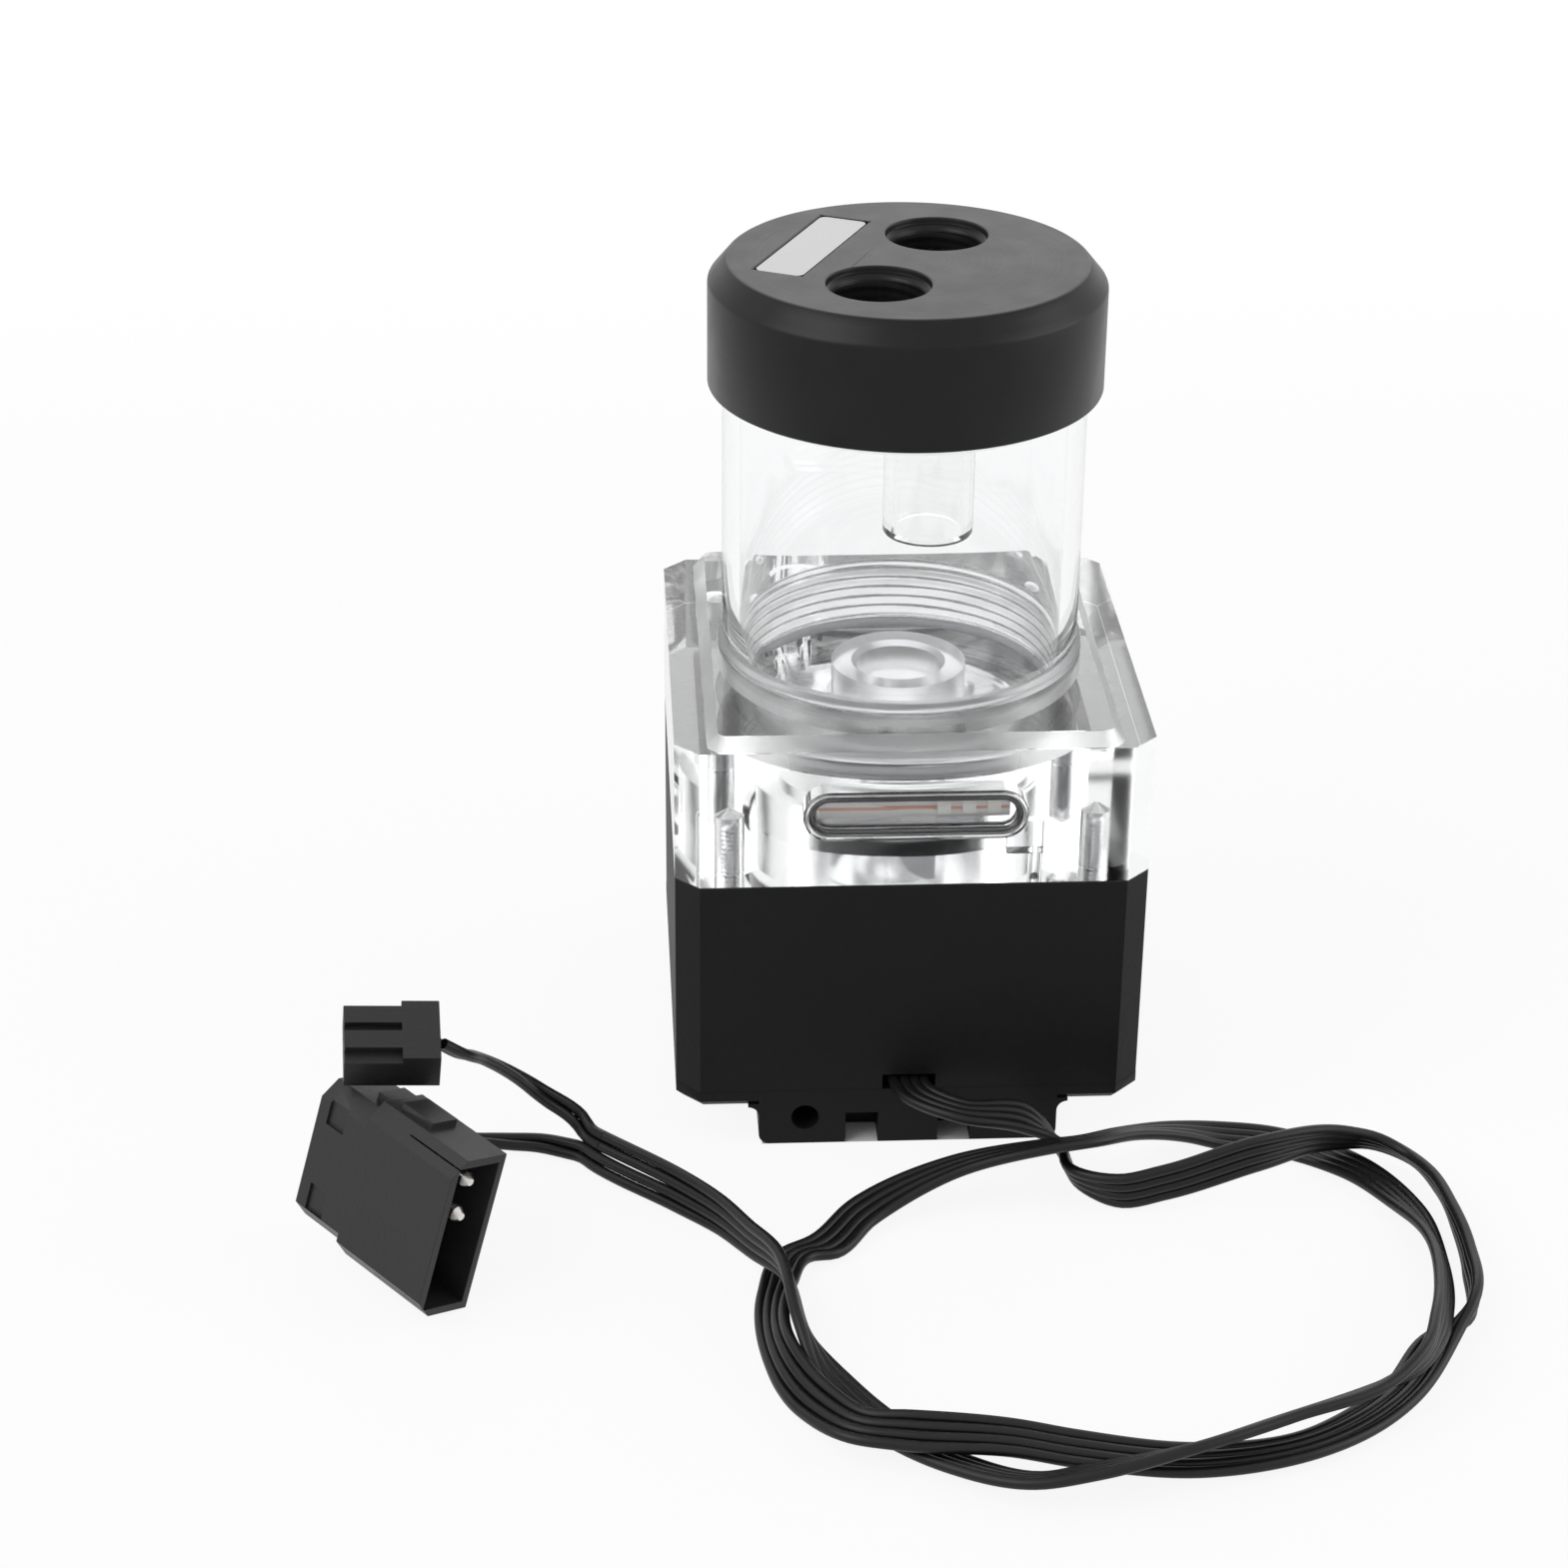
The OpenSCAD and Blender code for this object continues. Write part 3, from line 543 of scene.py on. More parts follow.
@dataclass(frozen=True)
class Cut:
    """A zone of faces that a cutter left satin.

    Attributes:
        measure: How the distance is taken.
        near: Lowest distance.
        far: Highest distance.
        low: Lowest height.
        high: Highest height.
        rough: Roughness that the zone adds.
    """

    measure: Measure
    near: float
    far: float
    low: float
    high: float
    rough: float


@dataclass(frozen=True)
class MachinedClearFinish(Finish):
    """A clear plastic, polished but for its cut zones.

    Attributes:
        cuts: The satin zones.
        corner: Half spacing of the corner screws.
    """

    cuts: tuple = ()
    corner: float = 0.025

    def roughness(self, graph: Graph, pattern: bpy.types.Node) -> bpy.types.NodeSocket:
        """Adds each zone's roughness to the polished one.

        Args:
            graph: Graph of the material.
            pattern: Node of the grain.

        Returns:
            The roughness.
        """
        axes = graph.add("ShaderNodeSeparateXYZ", {0: graph.place()}).outputs
        x, y = (graph.math("ABSOLUTE", axes[k]) for k in (0, 1))
        distance = {Measure.ROUND: self.length(graph, x, y), Measure.SQUARE: graph.math("MAXIMUM", x, y),
                    Measure.CORNER: self.length(graph, *(graph.math("SUBTRACT", v, self.corner) for v in (x, y)))}
        total = super().roughness(graph, pattern)
        for cut in self.cuts:
            inside = graph.math("MULTIPLY", self.window(graph, distance[cut.measure], cut.near, cut.far),
                                self.window(graph, axes[2], cut.low, cut.high))
            total = graph.math("MULTIPLY_ADD", inside, cut.rough, total)
        return total

    @staticmethod
    def length(graph: Graph, x: bpy.types.NodeSocket, y: bpy.types.NodeSocket) -> bpy.types.NodeSocket:
        """Gives the square root of the sum of two squares."""
        return graph.math("SQRT", graph.math("ADD", graph.math("POWER", x, 2.0), graph.math("POWER", y, 2.0)))

    @staticmethod
    def window(graph: Graph, value: bpy.types.NodeSocket, low: float, high: float) -> bpy.types.NodeSocket:
        """Gives 1 where a value lies between two numbers."""
        return graph.math("MULTIPLY", graph.math("GREATER_THAN", value, low), graph.math("LESS_THAN", value, high))


@dataclass(frozen=True)
class CoatedTopFinish(Finish):
    """A finish whose upper face carries a smoother skin.

    Attributes:
        face: Height above which the skin starts.
    """

    face: float = 1.0

    def skin(self, graph: Graph) -> Value:
        """Gives a full coat above the face's height and none below."""
        height = graph.add("ShaderNodeSeparateXYZ", {0: graph.place()}).outputs[2]
        return graph.math("GREATER_THAN", height, self.face)


@dataclass(frozen=True)
class StripFinish(Finish):
    """A white-masked light strip with copper tracks along it.

    Attributes:
        tracks: Heights of the tracks' middles.
        half: Half of a track's width.
        copper: Colour of the tracks.
    """

    tracks: tuple = ()
    half: float = 0.00022
    copper: Colour = (0.7, 0.3, 0.2)

    def colour(self, graph: Graph, pattern: bpy.types.Node) -> bpy.types.NodeSocket:
        """Lays the tracks over the two tones.

        Args:
            graph: Graph of the material.
            pattern: Node of the effect.

        Returns:
            The colour.
        """
        height = graph.add("ShaderNodeSeparateXYZ", {0: graph.place()}).outputs[2]
        share = 0.0
        for track in self.tracks:
            gap = graph.math("ABSOLUTE", graph.math("SUBTRACT", height, track))
            share = graph.math("MAXIMUM", graph.math("LESS_THAN", gap, self.half), share)
        return graph.blend(share, super().colour(graph, pattern), self.copper)


@dataclass(frozen=True)
class TurnedRoundFinish(Finish):
    """A finish whose pattern is turned about the upright axis.

    Attributes:
        angle: Turn in degrees.
    """

    angle: float = 0.0

    def coordinates(self, graph: Graph) -> bpy.types.NodeSocket:
        """Gives the place turned about the upright axis."""
        turned = graph.add("ShaderNodeMapping", {"Vector": graph.place(),
                                                 "Rotation": (0.0, 0.0, math.radians(-self.angle))})
        return turned.outputs[0]


def dress(finish: Finish, *nodes: str) -> None:
    """Puts one finish on CAD nodes.

    Args:
        finish: The finish to make.
        *nodes: Names of the nodes.
    """
    material = finish.make()
    for name in nodes:
        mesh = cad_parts[name].data
        mesh.materials.clear()
        mesh.materials.append(material)
        LOG.info("%s: %s", name, finish.name)


def soften(width: float, segments: int, *nodes: str) -> None:
    """Rounds the sharp edges of CAD nodes by modifiers.

    Args:
        width: Width of the rounding in metres.
        segments: Faces across it.
        *nodes: Names of the nodes.
    """
    for name in nodes:
        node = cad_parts[name]
        node.modifiers.new("weld", "WELD").merge_threshold = 1e-6
        bevel = node.modifiers.new("edge", "BEVEL")
        bevel.width, bevel.segments = width, segments
        bevel.limit_method, bevel.angle_limit = "ANGLE", math.radians(35)
        bevel.harden_normals = False


def set_back(depth: float, *nodes: str) -> None:
    """Draws the surfaces of CAD nodes in a little, so that an air film parts them from clear ones.

    Args:
        depth: Thickness of the film in metres.
        *nodes: Names of the nodes.
    """
    for name in nodes:
        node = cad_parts[name]
        node.modifiers.new("weld", "WELD").merge_threshold = 1e-6
        film = node.modifiers.new("film", "DISPLACE")
        film.strength, film.mid_level, film.direction = -depth, 0.0, "NORMAL"


def black(name: str, tone: float = 0.005, rough: tuple[float, float] = (0.42, 0.56),
          specular: float = 0.16, **others: object) -> Finish:
    """A black plastic: a dark tone and one two thirds lighter.

    Args:
        name: Name of the material.
        tone: The dark tone.
        rough: Lowest and highest roughness.
        specular: Reflection level.
        **others: Other fields of the finish.

    Returns:
        The finish.
    """
    return Finish(name, (tone, tone, tone * 1.06), (tone * 1.65, tone * 1.65, tone * 1.75), rough,
                  specular=specular, **others)


# ---------- sub-assemblies ----------
@dataclass
class Studio:
    """Camera, floor, sky and lamps.

    Attributes:
        lens: Focal length in millimetres on a 36 mm sensor.
        place: Place of the camera.
        pitch: Angle of the view's axis from straight down, in degrees.
        heading: Turn of the camera about the upright axis, in degrees.
        roll: Turn about the view's axis, in degrees.
        floor_half: Half of the floor's side in metres.
        shadow: Share of the floor near the object that takes lamp light, and so shadow.
        near: Distance from the object where that share starts to fade.
        far: Distance where it is gone.
        foot: Half width and half depth of the foot, whose floor lies in full shade.
    """

    lens: float = 81.46
    place: tuple = (-0.0422, -0.4539, 0.27295)
    pitch: float = 62.89
    heading: float = -3.30
    roll: float = 0.54
    floor_half: float = 4.0
    shadow: float = 0.1
    near: float = 0.12
    far: float = 0.4
    foot: tuple = (0.0205, 0.0324)

    def camera(self) -> None:
        """Makes the scene's camera."""
        camera = bpy.data.objects.new("camera", bpy.data.cameras.new("camera"))
        camera.data.lens, camera.data.sensor_width = self.lens, 36.0
        camera.data.clip_start = 0.01
        turn = (Matrix.Rotation(math.radians(self.heading), 4, "Z")
                @ Matrix.Rotation(math.radians(self.pitch), 4, "X")
                @ Matrix.Rotation(math.radians(self.roll), 4, "Z"))
        camera.matrix_world = Matrix.Translation(self.place) @ turn
        bpy.context.scene.collection.objects.link(camera)
        bpy.context.scene.camera = camera
        bpy.context.scene.view_settings.view_transform = "Standard"

    def floor(self) -> None:
        """Makes a pale floor: a level grid whose height is constant."""
        side = np.linspace(-self.floor_half, self.floor_half, 9)
        x, y = np.meshgrid(side, side)
        points = np.column_stack([x.ravel(), y.ravel(), np.full(x.size, -0.0001)])
        i, j = np.meshgrid(np.arange(8), np.arange(8), indexing="ij")
        corner = (i * 9 + j).ravel()
        floor = new_piece("floor", points, np.column_stack([corner, corner + 1, corner + 10, corner + 9]).tolist())
        material = bpy.data.materials.new("pale_floor")
        material.use_nodes = True
        graph = Graph(material.node_tree)
        matt = graph.add("ShaderNodeBsdfDiffuse", {"Color": (0.82, 0.82, 0.82, 1.0)})
        glow = graph.add("ShaderNodeEmission", {"Color": (1.0, 1.0, 1.0, 1.0), "Strength": 1.0})
        seen = graph.math("MULTIPLY", self.seen(graph), self.glow(graph))
        graph.finish(graph.add("ShaderNodeMixShader", {0: seen, 1: matt.outputs[0], 2: glow.outputs[0]}).outputs[0])
        floor.data.materials.append(material)

    def glow(self, graph: Graph) -> bpy.types.NodeSocket:
        """Gives the floor's own white share: none under the foot, most of it near, all of it far.

        Args:
            graph: Graph of the floor's material.

        Returns:
            The share.
        """
        axes = graph.add("ShaderNodeSeparateXYZ", {0: graph.place()}).outputs
        x, y = (graph.math("ABSOLUTE", axes[k]) for k in (0, 1))
        distance = graph.math("MAXIMUM", x, y)
        share = graph.add("ShaderNodeMapRange", {"Value": distance, "From Min": self.near, "From Max": self.far,
                                                 "To Min": 1.0 - self.shadow, "To Max": 1.0},
                          interpolation_type="SMOOTHSTEP").outputs[0]
        outside = graph.math("MAXIMUM", graph.math("GREATER_THAN", x, self.foot[0]),
                             graph.math("GREATER_THAN", y, self.foot[1]))
        return graph.math("MULTIPLY", share, outside)

    @staticmethod
    def seen(graph: Graph) -> bpy.types.NodeSocket:
        """Gives 1 for rays that show the background: from the camera, off gloss or through glass."""
        path = graph.add("ShaderNodeLightPath").outputs
        some = graph.math("MAXIMUM", path["Is Camera Ray"], path["Is Glossy Ray"])
        return graph.math("MAXIMUM", some, path["Is Transmission Ray"])

    def sky(self) -> None:
        """Makes a white background that lights the object at a lower level."""
        world = bpy.data.worlds.new("sky")
        world.use_nodes = True
        bpy.context.scene.world = world
        graph = Graph(world.node_tree)
        strength = graph.between(self.seen(graph), 0.5, 1.0)
        shader = graph.add("ShaderNodeBackground", {"Color": (1.0, 1.0, 1.0, 1.0), "Strength": strength})
        graph.add("ShaderNodeOutputWorld", {"Surface": shader.outputs[0]})

    def lamp(self, name: str, place: tuple, size: float, power: float) -> None:
        """Makes a square soft lamp that faces the middle of the object.

        Args:
            name: Name of the lamp.
            place: Its place in metres.
            size: Its side in metres.
            power: Its power in watts.
        """
        lamp = bpy.data.objects.new(name, bpy.data.lights.new(name, "AREA"))
        lamp.data.size, lamp.data.energy = size, power
        lamp.location = place
        lamp.rotation_euler = (Vector((0.0, -0.02, 0.05)) - Vector(place)).to_track_quat("-Z", "Y").to_euler()
        bpy.context.scene.collection.objects.link(lamp)

    def build(self) -> None:
        """Makes everything round the object."""
        self.camera()
        self.floor()
        self.sky()
        self.lamp("key_lamp", (-0.65, -0.3, 0.7), 0.7, 4.4)
        self.lamp("fill_lamp", (0.8, -0.12, 0.35), 0.7, 3.0)
        self.lamp("back_lamp", (0.1, 0.9, 0.6), 0.8, 1.7)


@dataclass
class FlatCable:
    """Four wires side by side, split into two pairs that end in the two plugs.

    Attributes:
        pitch: Distance between neighbouring wires.
        radius: Radius of a wire.
        length: Length from the housing to the power plug. Not used.
        fan_length: Length of the pair that goes to the fan plug. Not used.
    """

    pitch: float = 0.0015
    radius: float = 0.00075
    length: float = 0.608
    fan_length: float = 0.0435

    def build(self) -> None:
        material = black("wire_vinyl", 0.005, (0.34, 0.46), 0.3, scale=900.0, relief=0.00001).make()
        trunk, across = ribbon_frame(TRUNK)
        power, power_across = ribbon_frame(POWER_BRANCH)
        fan, fan_across = ribbon_frame(FAN_BRANCH)
        wires = []
        for k in (-1.5, -0.5):
            start = trunk[:-1] + across[:-1] * k * self.pitch
            end = power + power_across * (k + 1.0) * self.pitch
            wires.append(round_wire(np.vstack([start, end]), np.vstack([across[:-1], power_across]), self.radius)[0])
        for k in (0.5, 1.5):
            wires.append(round_wire(trunk[:-1] + across[:-1] * k * self.pitch, across[:-1], self.radius)[0])
        ribbon = join_wires("ribbon_cable", wires)
        self.place(ribbon, material, "cable_black", ("cable_trunk", "power_branch"))

        root = trunk[-2:-1] + across[-2:-1] * self.pitch
        centre, width = np.vstack([root, fan]), np.vstack([across[-2:-1], fan_across])
        pair = [round_wire(centre + width * k * self.pitch, width, self.radius)[0] for k in (-0.5, 0.5)]
        wires = join_wires("fan_wires", pair)
        self.place(wires, material, "cable_black_fan", ("fan_branch",))

    @staticmethod
    def place(piece: bpy.types.Object, material: bpy.types.Material, slot: str, nodes: tuple) -> None:
        """Gives wires their material, and hides the nodes that they stand for."""
        piece.data.materials.append(material)
        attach(piece, "base")
        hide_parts(*nodes)
        LOG.info("%s: %d faces", piece.name, len(piece.data.polygons))

    def dress(self) -> None:
        """Dresses the plugs and their contacts."""
        dress(black("fan_plug_nylon", 0.007, (0.36, 0.5), 0.34, scale=1300.0, relief=0.00003), "fan_plug")
        dress(black("power_plug_nylon", 0.013, (0.36, 0.5), 0.34, scale=1300.0, relief=0.00003), "power_plug")
        dress(Finish("rolled_tin", (0.62, 0.60, 0.57), (0.78, 0.76, 0.72), (0.22, 0.38), metallic=1.0,
                     effect=Effect.BRUSHED, scale=900.0, relief=0.00001), "power_pins")
        dress(Finish("contact_gold", (0.72, 0.5, 0.2), (0.9, 0.68, 0.32), (0.2, 0.34), metallic=1.0,
                     scale=2500.0, relief=0.000005), "fan_contacts")
        soften(0.00025, 2, "fan_plug", "power_plug")


@dataclass
class Reservoir:
    """Clear tube with cut threads, cap with two ports, seals and down tube.

    Attributes:
        wall: Wall of the tube.
        plain: Radius of the tube between its threads.
        pitch: Pitch of the tube's threads.
        port_angle: Direction of the line through the two ports, in degrees.
        port_off: Distance of each port from the axis.
    """

    wall: float = 0.0025
    plain: float = 0.025
    pitch: float = 0.0015
    port_angle: float = 65.0
    port_off: float = 0.0112

    @staticmethod
    def shoulders() -> tuple[float, float]:
        """Gives the heights where the tube's lower thread ends and its upper one starts."""
        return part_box("pump_top")[1].z + 0.0018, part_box("cap")[0].z - 0.0008

    def tube(self) -> bpy.types.Object:
        """Makes the tube: a ring swept round the axis, whose outside rises by a thread ridge near
        both ends and whose inner and outer ends are chamfered.

        Returns:
            The piece.
        """
        low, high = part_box("reservoir_tube")
        crest = high.x
        seat, mouth = self.shoulders()
        inner = self.plain - self.wall
        outside = np.concatenate([np.linspace(low.z, seat, 55), np.linspace(seat, mouth, 9)[1:-1],
                                  np.linspace(mouth, high.z, 55)])
        z = np.concatenate([outside, [high.z, high.z - 0.0004], np.linspace(high.z - 0.001, low.z + 0.001, 7),
                            [low.z + 0.0006, low.z]])
        count, rim = len(outside), len(z) - len(outside)
        turn = np.linspace(0.0, 1.0, 160, endpoint=False)
        radius = np.full(len(z), inner)
        radius[:count] = self.plain
        radius[count], radius[-1] = inner + 0.0004, inner + 0.0006
        radius[[0, count - 1]] = self.plain - 0.0003
        threaded = (z <= seat) | (z >= mouth)
        threaded[count:] = False
        threaded[[0, count - 1]] = False
        fade = np.clip(np.minimum.reduce([np.abs(z - low.z), np.abs(z - seat), np.abs(z - mouth),
                                          np.abs(z - high.z)]) / 0.0007, 0.0, 1.0) * threaded
        ridge = thread_ridge(z[:, None], turn[None, :], self.pitch) * fade[:, None]
        ridge[(z > mouth) & (z < mouth + 0.0009) & threaded] = 1.0
        r = radius[:, None] + (crest - self.plain) * ridge
        angle = 2 * math.pi * turn[None, :]
        points = np.stack([r * np.cos(angle), r * np.sin(angle), np.broadcast_to(z[:, None], r.shape)], axis=-1)
        faces = grid_faces(count + rim, len(turn), True)
        piece = new_piece("clear_tube", points.reshape(-1, 3), faces.tolist(), sharp=30.0)
        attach(piece, "tube")
        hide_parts("reservoir_tube")
        LOG.info("clear_tube: %d faces", len(piece.data.polygons))
        return piece

    def build(self) -> None:
        """Makes the tube and dresses the rest."""
        low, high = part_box("reservoir_tube")
        seat, mouth = self.shoulders()
        clear = MachinedClearFinish("clear_acrylic_tube", (0.985, 0.99, 0.99), (0.975, 0.985, 0.99), (0.0, 0.02),
                                    scale=500.0, relief=0.0000006, clear=1.0, cuts=(
            Cut(Measure.ROUND, self.plain - 0.0002, high.x + 0.001, low.z - 0.001, seat + 0.0002, 0.4),
            Cut(Measure.ROUND, self.plain - 0.0002, high.x + 0.001, mouth - 0.0002, high.z + 0.001, 0.4)))
        self.tube().data.materials.append(clear.make())
        dress(Finish("clear_acrylic_pipe", (0.99, 0.99, 0.988), (0.985, 0.985, 0.983), (0.0, 0.04),
                     scale=500.0, relief=0.000001, clear=1.0), "down_tube")
        turn = math.radians(self.port_angle)
        port = (self.port_off * math.cos(turn), self.port_off * math.sin(turn))
        dress(ThreadedFinish("cap_acetal", (0.0045, 0.0045, 0.005), (0.0085, 0.0085, 0.0092), (0.3, 0.42), specular=0.22,
                             effect=Effect.TURNED, scale=2600.0, relief=0.000012,
                             bores=(port, (-port[0], -port[1]))), "cap")
        dress(TurnedRoundFinish("brushed_plate", (0.27, 0.27, 0.275), (0.36, 0.36, 0.365), (0.24, 0.4), metallic=1.0,
                                effect=Effect.BRUSHED, scale=2600.0, relief=0.000006,
                                angle=self.port_angle), "cap_plate")
        dress(Finish("clear_silicone", (0.62, 0.63, 0.65), (0.75, 0.76, 0.78), (0.4, 0.55), clear=0.35,
                     ior=1.41, scale=700.0, relief=0.00001), "tube_seal")
        dress(black("seal_rubber_cap", 0.008, (0.5, 0.66), scale=1500.0), "cap_seal")
        soften(0.0003, 2, "cap")


@dataclass
class Pump:
    """Foot, housing, motor, clear top, light window and screws.

    Attributes:
        screw_radius: Thread radius of the corner screws.
        screw_pitch: Their pitch.
        bead: Width of each bead on the window's rim.
    """

    screw_radius: float = 0.00198
    screw_pitch: float = 0.0007
    bead: float = 0.0008

    def screws(self) -> None:
        """Makes the four corner screws: a profile of radius and height turned about each axis, whose
        socket is a hexagon, the flat distance over the cosine of the angle from each flat's middle,
        and whose shank falls by the thread's depth away from the ridge."""
        low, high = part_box("corner_screws")
        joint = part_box("pump_top")[0].z
        off = high.x - 0.0035
        head, floor = low.z + 0.0027, low.z + 0.0016
        thread = np.linspace(joint - 0.003, high.z - 0.0004, 90)
        z = np.concatenate([[floor, floor, low.z + 0.0002, low.z, low.z, low.z + 0.0002, head - 0.0001, head, head],
                            thread, [high.z, high.z]])
        turn = np.linspace(0.0, 1.0, 36, endpoint=False)
        flat = np.cos(np.radians((turn * 360.0) % 60.0 - 30.0))
        ridge = thread_ridge(z[:, None], turn[None, :], self.screw_pitch)
        r = self.screw_radius - 0.00036 * (1 - ridge)
        r[:9] = np.array([0.00002, 0.0, 0.0, 0.0019, 0.0033, 0.0035, 0.0035, 0.0034, self.screw_radius])[:, None]
        r[1:3] = 0.00139 / flat
        r[-2:] = np.array([[self.screw_radius - 0.0005], [0.00002]])
        angle = 2 * math.pi * turn[None, :]
        one = np.stack([r * np.cos(angle), r * np.sin(angle), np.broadcast_to(z[:, None], r.shape)], axis=-1)
        one = one.reshape(-1, 3)
        body = grid_faces(len(z), len(turn), False)
        ends = [list(range(len(turn) - 1, -1, -1)), list(range((len(z) - 1) * len(turn), len(z) * len(turn)))]
        points, faces = [], []
        for x in (-off, off):
            for y in (-off, off):
                base = len(points) * len(one)
                points.append(one + (x, y, 0.0))
                faces += (body + base).tolist() + [[base + v for v in end] for end in ends]
        piece = new_piece("threaded_screws", np.concatenate(points), faces, sharp=35.0)
        self.stand(piece, Finish("corner_steel", (0.5, 0.5, 0.51), (0.72, 0.72, 0.73), (0.2, 0.32), metallic=1.0,
                                 scale=2200.0, relief=0.000006), "screw_black", "corner_screws")

    @staticmethod
    def stand(piece: bpy.types.Object, finish: Finish, slot: str, node: str) -> None:
        """Gives a piece of the pump its finish, and lets it stand for a node."""
        piece.data.materials.append(finish.make())
        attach(piece, "base")
        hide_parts(node)
        LOG.info("%s: %d faces", piece.name, len(piece.data.polygons))

    @staticmethod
    def stadium(half_length: float, half_height: float, count: int) -> tuple[np.ndarray, np.ndarray]:
        """A stadium outline: half circles joined by straight runs, with the outward direction.

        Args:
            half_length: Half of its length.
            half_height: Half of its height, which is the end's radius.
            count: Points on each half circle.

        Returns:
            The points and the outward directions, both as X and Z rows.
        """
        angle = np.linspace(math.pi / 2, -math.pi / 2, count)
        angle = np.concatenate([angle, angle + math.pi])
        out = np.column_stack([np.cos(angle), np.sin(angle)])
        centre = np.where(np.arange(2 * count) < count, 1.0, -1.0) * (half_length - half_height)
        return out * half_height + np.column_stack([centre, np.zeros(2 * count)]), out

    def window(self) -> None:
        """Makes the window's rim and lens. The rim is a stadium whose section has two half-round
        beads in front of a flat back. The lens is a stadium whose front bulges by a parabola of the
        share of the way out."""
        low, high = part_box("window_rim")
        half_length, half_height = (high.x - low.x) / 2, (high.z - low.z) / 2
        middle = (low.z + high.z) / 2
        clear = Finish("clear_polycarbonate", (0.98, 0.985, 0.99), (0.95, 0.96, 0.97), (0.0, 0.03), clear=1.0,
                       ior=1.58, scale=600.0, relief=0.000001)
        line, out = self.stadium(half_length, half_height, 40)
        across = np.linspace(0.0, 2 * self.bead, 19)
        bulge = np.sqrt(np.clip(1 - ((across % self.bead) / self.bead * 2 - 1) ** 2, 0.0, 1.0))
        bulge[-1] = 0.0
        inset = np.concatenate([across, across[::-1][1:-1:6]])
        depth = np.concatenate([low.y + self.bead * 0.5 * (1 - bulge), np.full(len(inset) - len(across), high.y)])
        flat = line[:, None, :] - out[:, None, :] * inset[None, :, None]
        points = np.stack([flat[..., 0], np.broadcast_to(depth, flat.shape[:2]), middle + flat[..., 1]], axis=-1)
        faces = grid_faces(len(line), len(inset), True)
        rim = new_piece("window_frame", points.reshape(-1, 3), faces.tolist(), sharp=50.0)
        self.stand(rim, clear, "clear_rim", "window_rim")

        low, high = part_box("window_lens")
        line, out = self.stadium((high.x - low.x) / 2, (high.z - low.z) / 2, 32)
        share = np.array([0.02, 0.25, 0.5, 0.75, 0.93, 1.0])
        front = low.y + 0.0004 * share ** 2
        rows = np.concatenate([share, share[::-1]])
        depth = np.concatenate([front, np.full(len(share), high.y)])
        flat = line[None, :, :] * rows[:, None, None]
        points = np.stack([flat[..., 0], np.broadcast_to(depth[:, None], flat.shape[:2]), middle + flat[..., 1]],
                          axis=-1)
        count = len(line)
        faces = grid_faces(len(rows), count, False).tolist()
        faces += [list(range(count - 1, -1, -1)), list(range((len(rows) - 1) * count, len(rows) * count))]
        lens = new_piece("window_glass", points.reshape(-1, 3), faces, sharp=50.0)
        self.stand(lens, clear, "clear_lens", "window_lens")

    def build(self) -> None:
        """Makes the screws and the window, and dresses the nodes."""
        dress(black("cover_nylon", 0.005, (0.46, 0.6), scale=1500.0, relief=0.00004), "bottom_cover")
        dress(CoatedTopFinish("housing_nylon", (0.005, 0.005, 0.0053), (0.0085, 0.0085, 0.009), (0.46, 0.6),
                              specular=0.16, scale=1500.0, relief=0.00004, coat_rough=0.12,
                              face=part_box("pump_housing")[1].z - 0.0002), "pump_housing")
        dress(black("cup_nylon", 0.012, (0.4, 0.55)), "dry_cup")
        low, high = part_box("pump_top")
        ledge, recess = high.z - 0.0019, high.z - 0.0085
        dress(MachinedClearFinish("clear_acrylic_block", (0.985, 0.99, 0.99), (0.975, 0.985, 0.99), (0.0, 0.02),
                                  scale=400.0, relief=0.0000008, clear=1.0, cuts=(
            Cut(Measure.ROUND, 0.0248, 0.0262, recess + 0.0001, high.z - 0.0001, 0.42),
            Cut(Measure.ROUND, 0.0, 0.0103, low.z + 0.0076, recess + 0.0060, 0.3),
            Cut(Measure.ROUND, 0.0, 0.0215, low.z + 0.0001, low.z + 0.0074, 0.24),
            Cut(Measure.SQUARE, 0.0262, 0.03245, ledge + 0.00005, high.z - 0.00005, 0.5),
            Cut(Measure.ROUND, 0.0318, 0.05, low.z + 0.0001, ledge, 0.06),
            Cut(Measure.CORNER, 0.0, 0.0023, low.z + 0.0001, low.z + 0.012, 0.3))), "pump_top")
        dress(black("seal_rubber", 0.02, (0.5, 0.65), scale=1500.0), "housing_oring")
        dress(black("clamp_rubber", 0.008, (0.55, 0.7), scale=1500.0, relief=0.00004), "cable_clamp")
        dress(Finish("screw_steel", (0.5, 0.5, 0.52), (0.68, 0.68, 0.7), (0.25, 0.4), metallic=1.0,
                     effect=Effect.TURNED, scale=2600.0, relief=0.000006), "board_screws")
        dress(Finish("thermal_pad", (0.42, 0.5, 0.55), (0.55, 0.62, 0.66), (0.7, 0.85), scale=1400.0,
                     relief=0.00006), "thermal_pad")
        dress(Finish("board_green", (0.01, 0.12, 0.06), (0.03, 0.3, 0.15), (0.3, 0.42), effect=Effect.TRACES,
                     scale=160.0, relief=0.00002, coat=0.3), "control_board")
        dress(black("chip_epoxy", 0.02, (0.42, 0.55)), "board_parts")
        dress(Finish("header_nylon", (0.72, 0.69, 0.6), (0.82, 0.79, 0.71), (0.4, 0.52)), "wire_header")
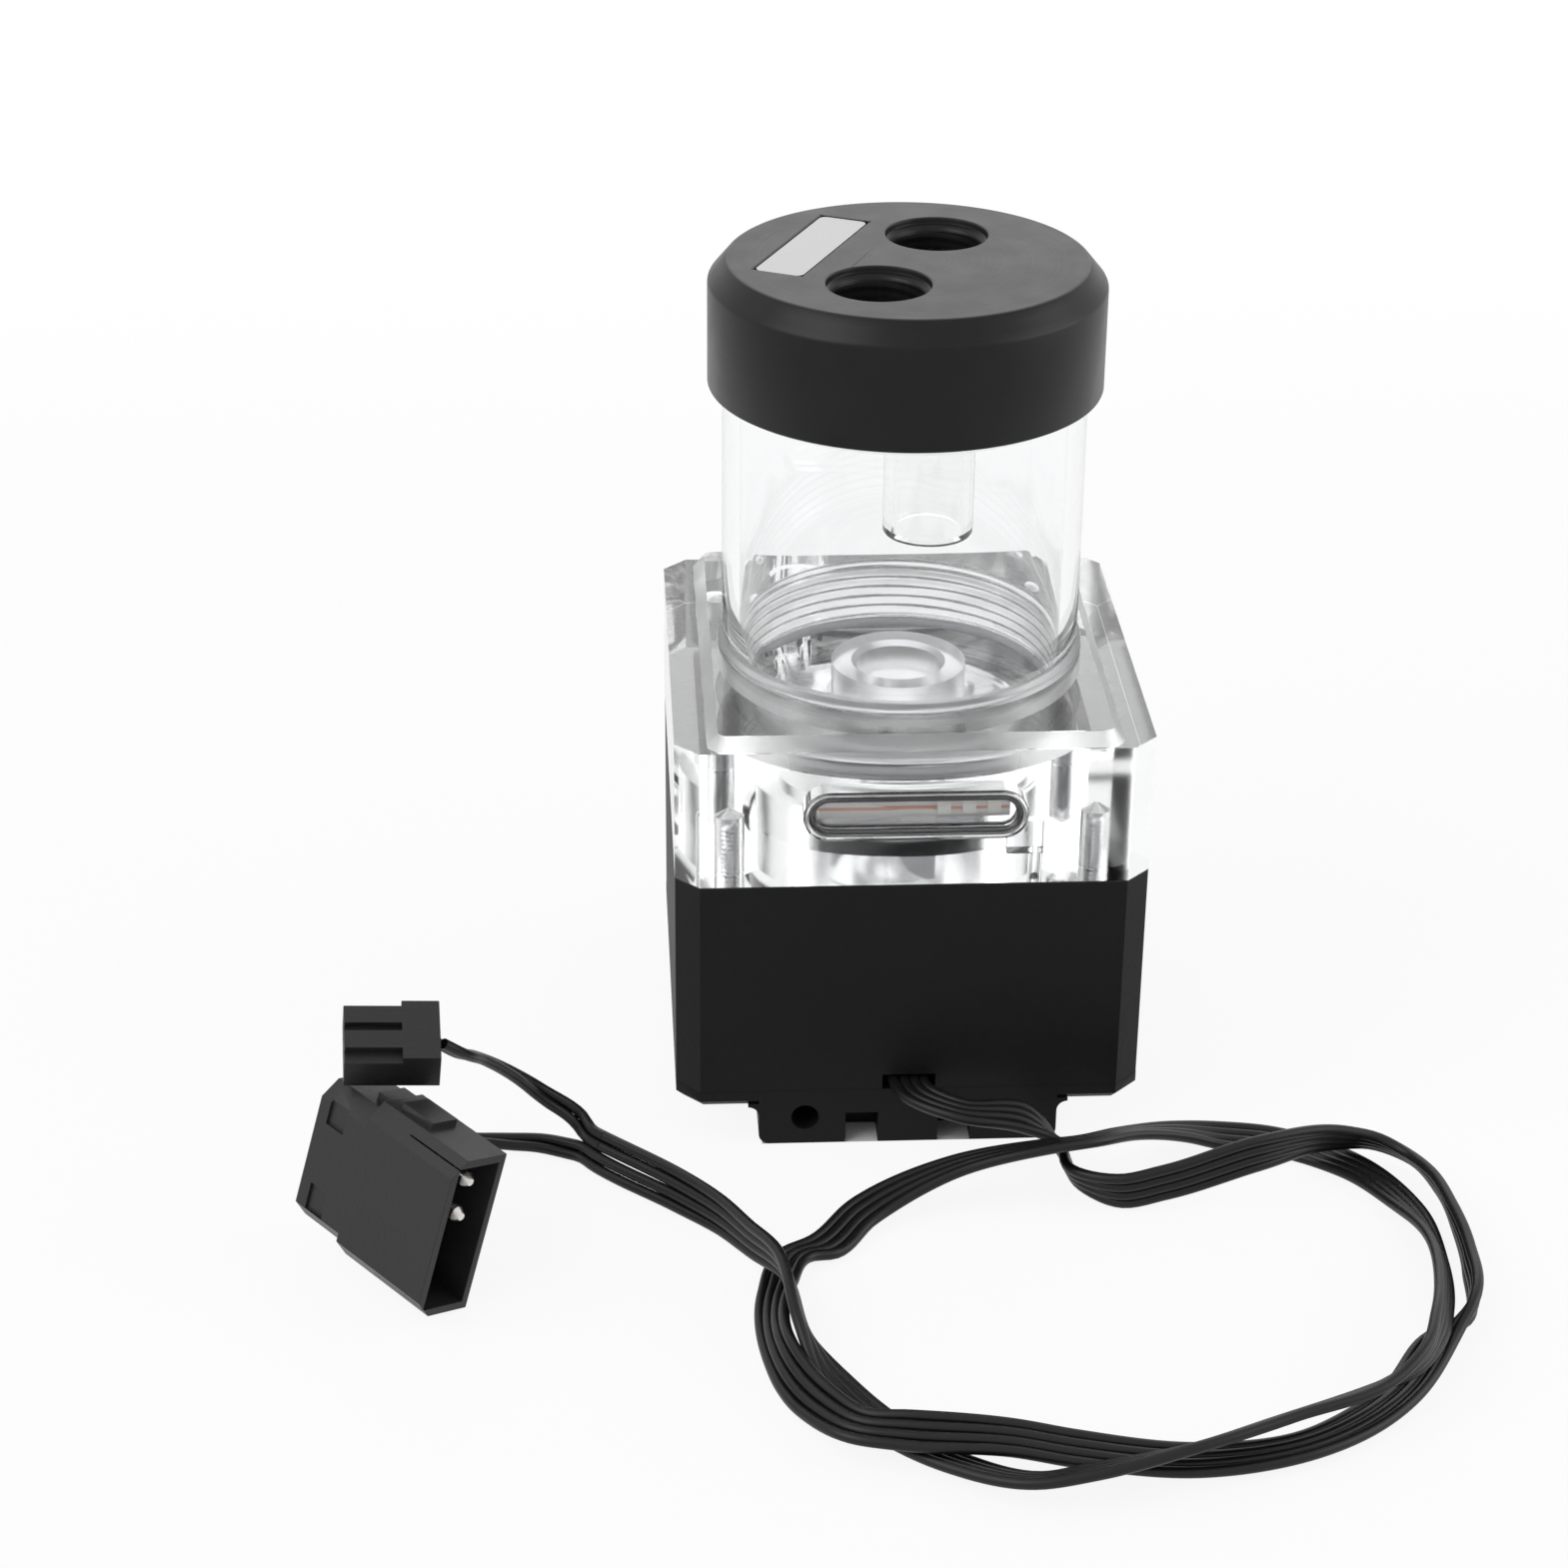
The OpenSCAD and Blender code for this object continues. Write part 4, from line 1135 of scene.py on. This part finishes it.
        dress(Finish("core_steel", (0.28, 0.28, 0.3), (0.6, 0.6, 0.62), (0.35, 0.5), metallic=1.0,
                     effect=Effect.LAYERS, scale=6283.0, relief=0.00004), "stator_core")
        # The layers paint shade into the creases between turns of wire.
        dress(Finish("coil_enamel", (0.35, 0.12, 0.03), (0.85, 0.42, 0.16), (0.2, 0.34), metallic=0.8,
                     effect=Effect.LAYERS, scale=7850.0, relief=0.00015, coat=0.4), "stator_coils")
        dress(Finish("frame_nylon", (0.74, 0.71, 0.62), (0.84, 0.81, 0.74), (0.4, 0.55)), "stator_frame")
        dress(Finish("shaft_ceramic", (0.8, 0.78, 0.72), (0.88, 0.86, 0.8), (0.12, 0.2), scale=2600.0,
                     relief=0.000004), "shaft")
        dress(Finish("magnet_ferrite", (0.05, 0.05, 0.055), (0.1, 0.1, 0.11), (0.5, 0.66), scale=1600.0,
                     relief=0.00003), "rotor_magnet")
        dress(Finish("bushing_carbon", (0.03, 0.03, 0.032), (0.06, 0.06, 0.065), (0.3, 0.42)), "rotor_bushing")
        dress(Finish("impeller_nylon", (0.68, 0.68, 0.7), (0.78, 0.78, 0.8), (0.38, 0.5)), "impeller")
        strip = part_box("light_board")
        dress(StripFinish("light_strip", (0.62, 0.6, 0.58), (0.78, 0.76, 0.74), (0.2, 0.35),
                          effect=Effect.TRACES, scale=420.0, relief=0.00002,
                          tracks=(strip[1].z - 0.0002, (strip[0].z + strip[1].z) / 2 - 0.0006)), "light_board")
        dress(Finish("lamp_white", (0.8, 0.79, 0.72), (0.9, 0.89, 0.84), (0.3, 0.4), scale=1500.0), "light_leds")
        self.screws()
        self.window()
        soften(0.00035, 2, "bottom_cover")
        set_back(0.00004, "pump_housing", "dry_cup")


def main() -> None:
    """Builds the stage, the cable and then each sub-assembly."""
    logging.basicConfig(level=logging.INFO, format="%(message)s")
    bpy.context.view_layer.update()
    Studio().build()
    cable = FlatCable()
    cable.build()
    cable.dress()
    Reservoir().build()
    Pump().build()


if __name__ == "__main__":
    main()
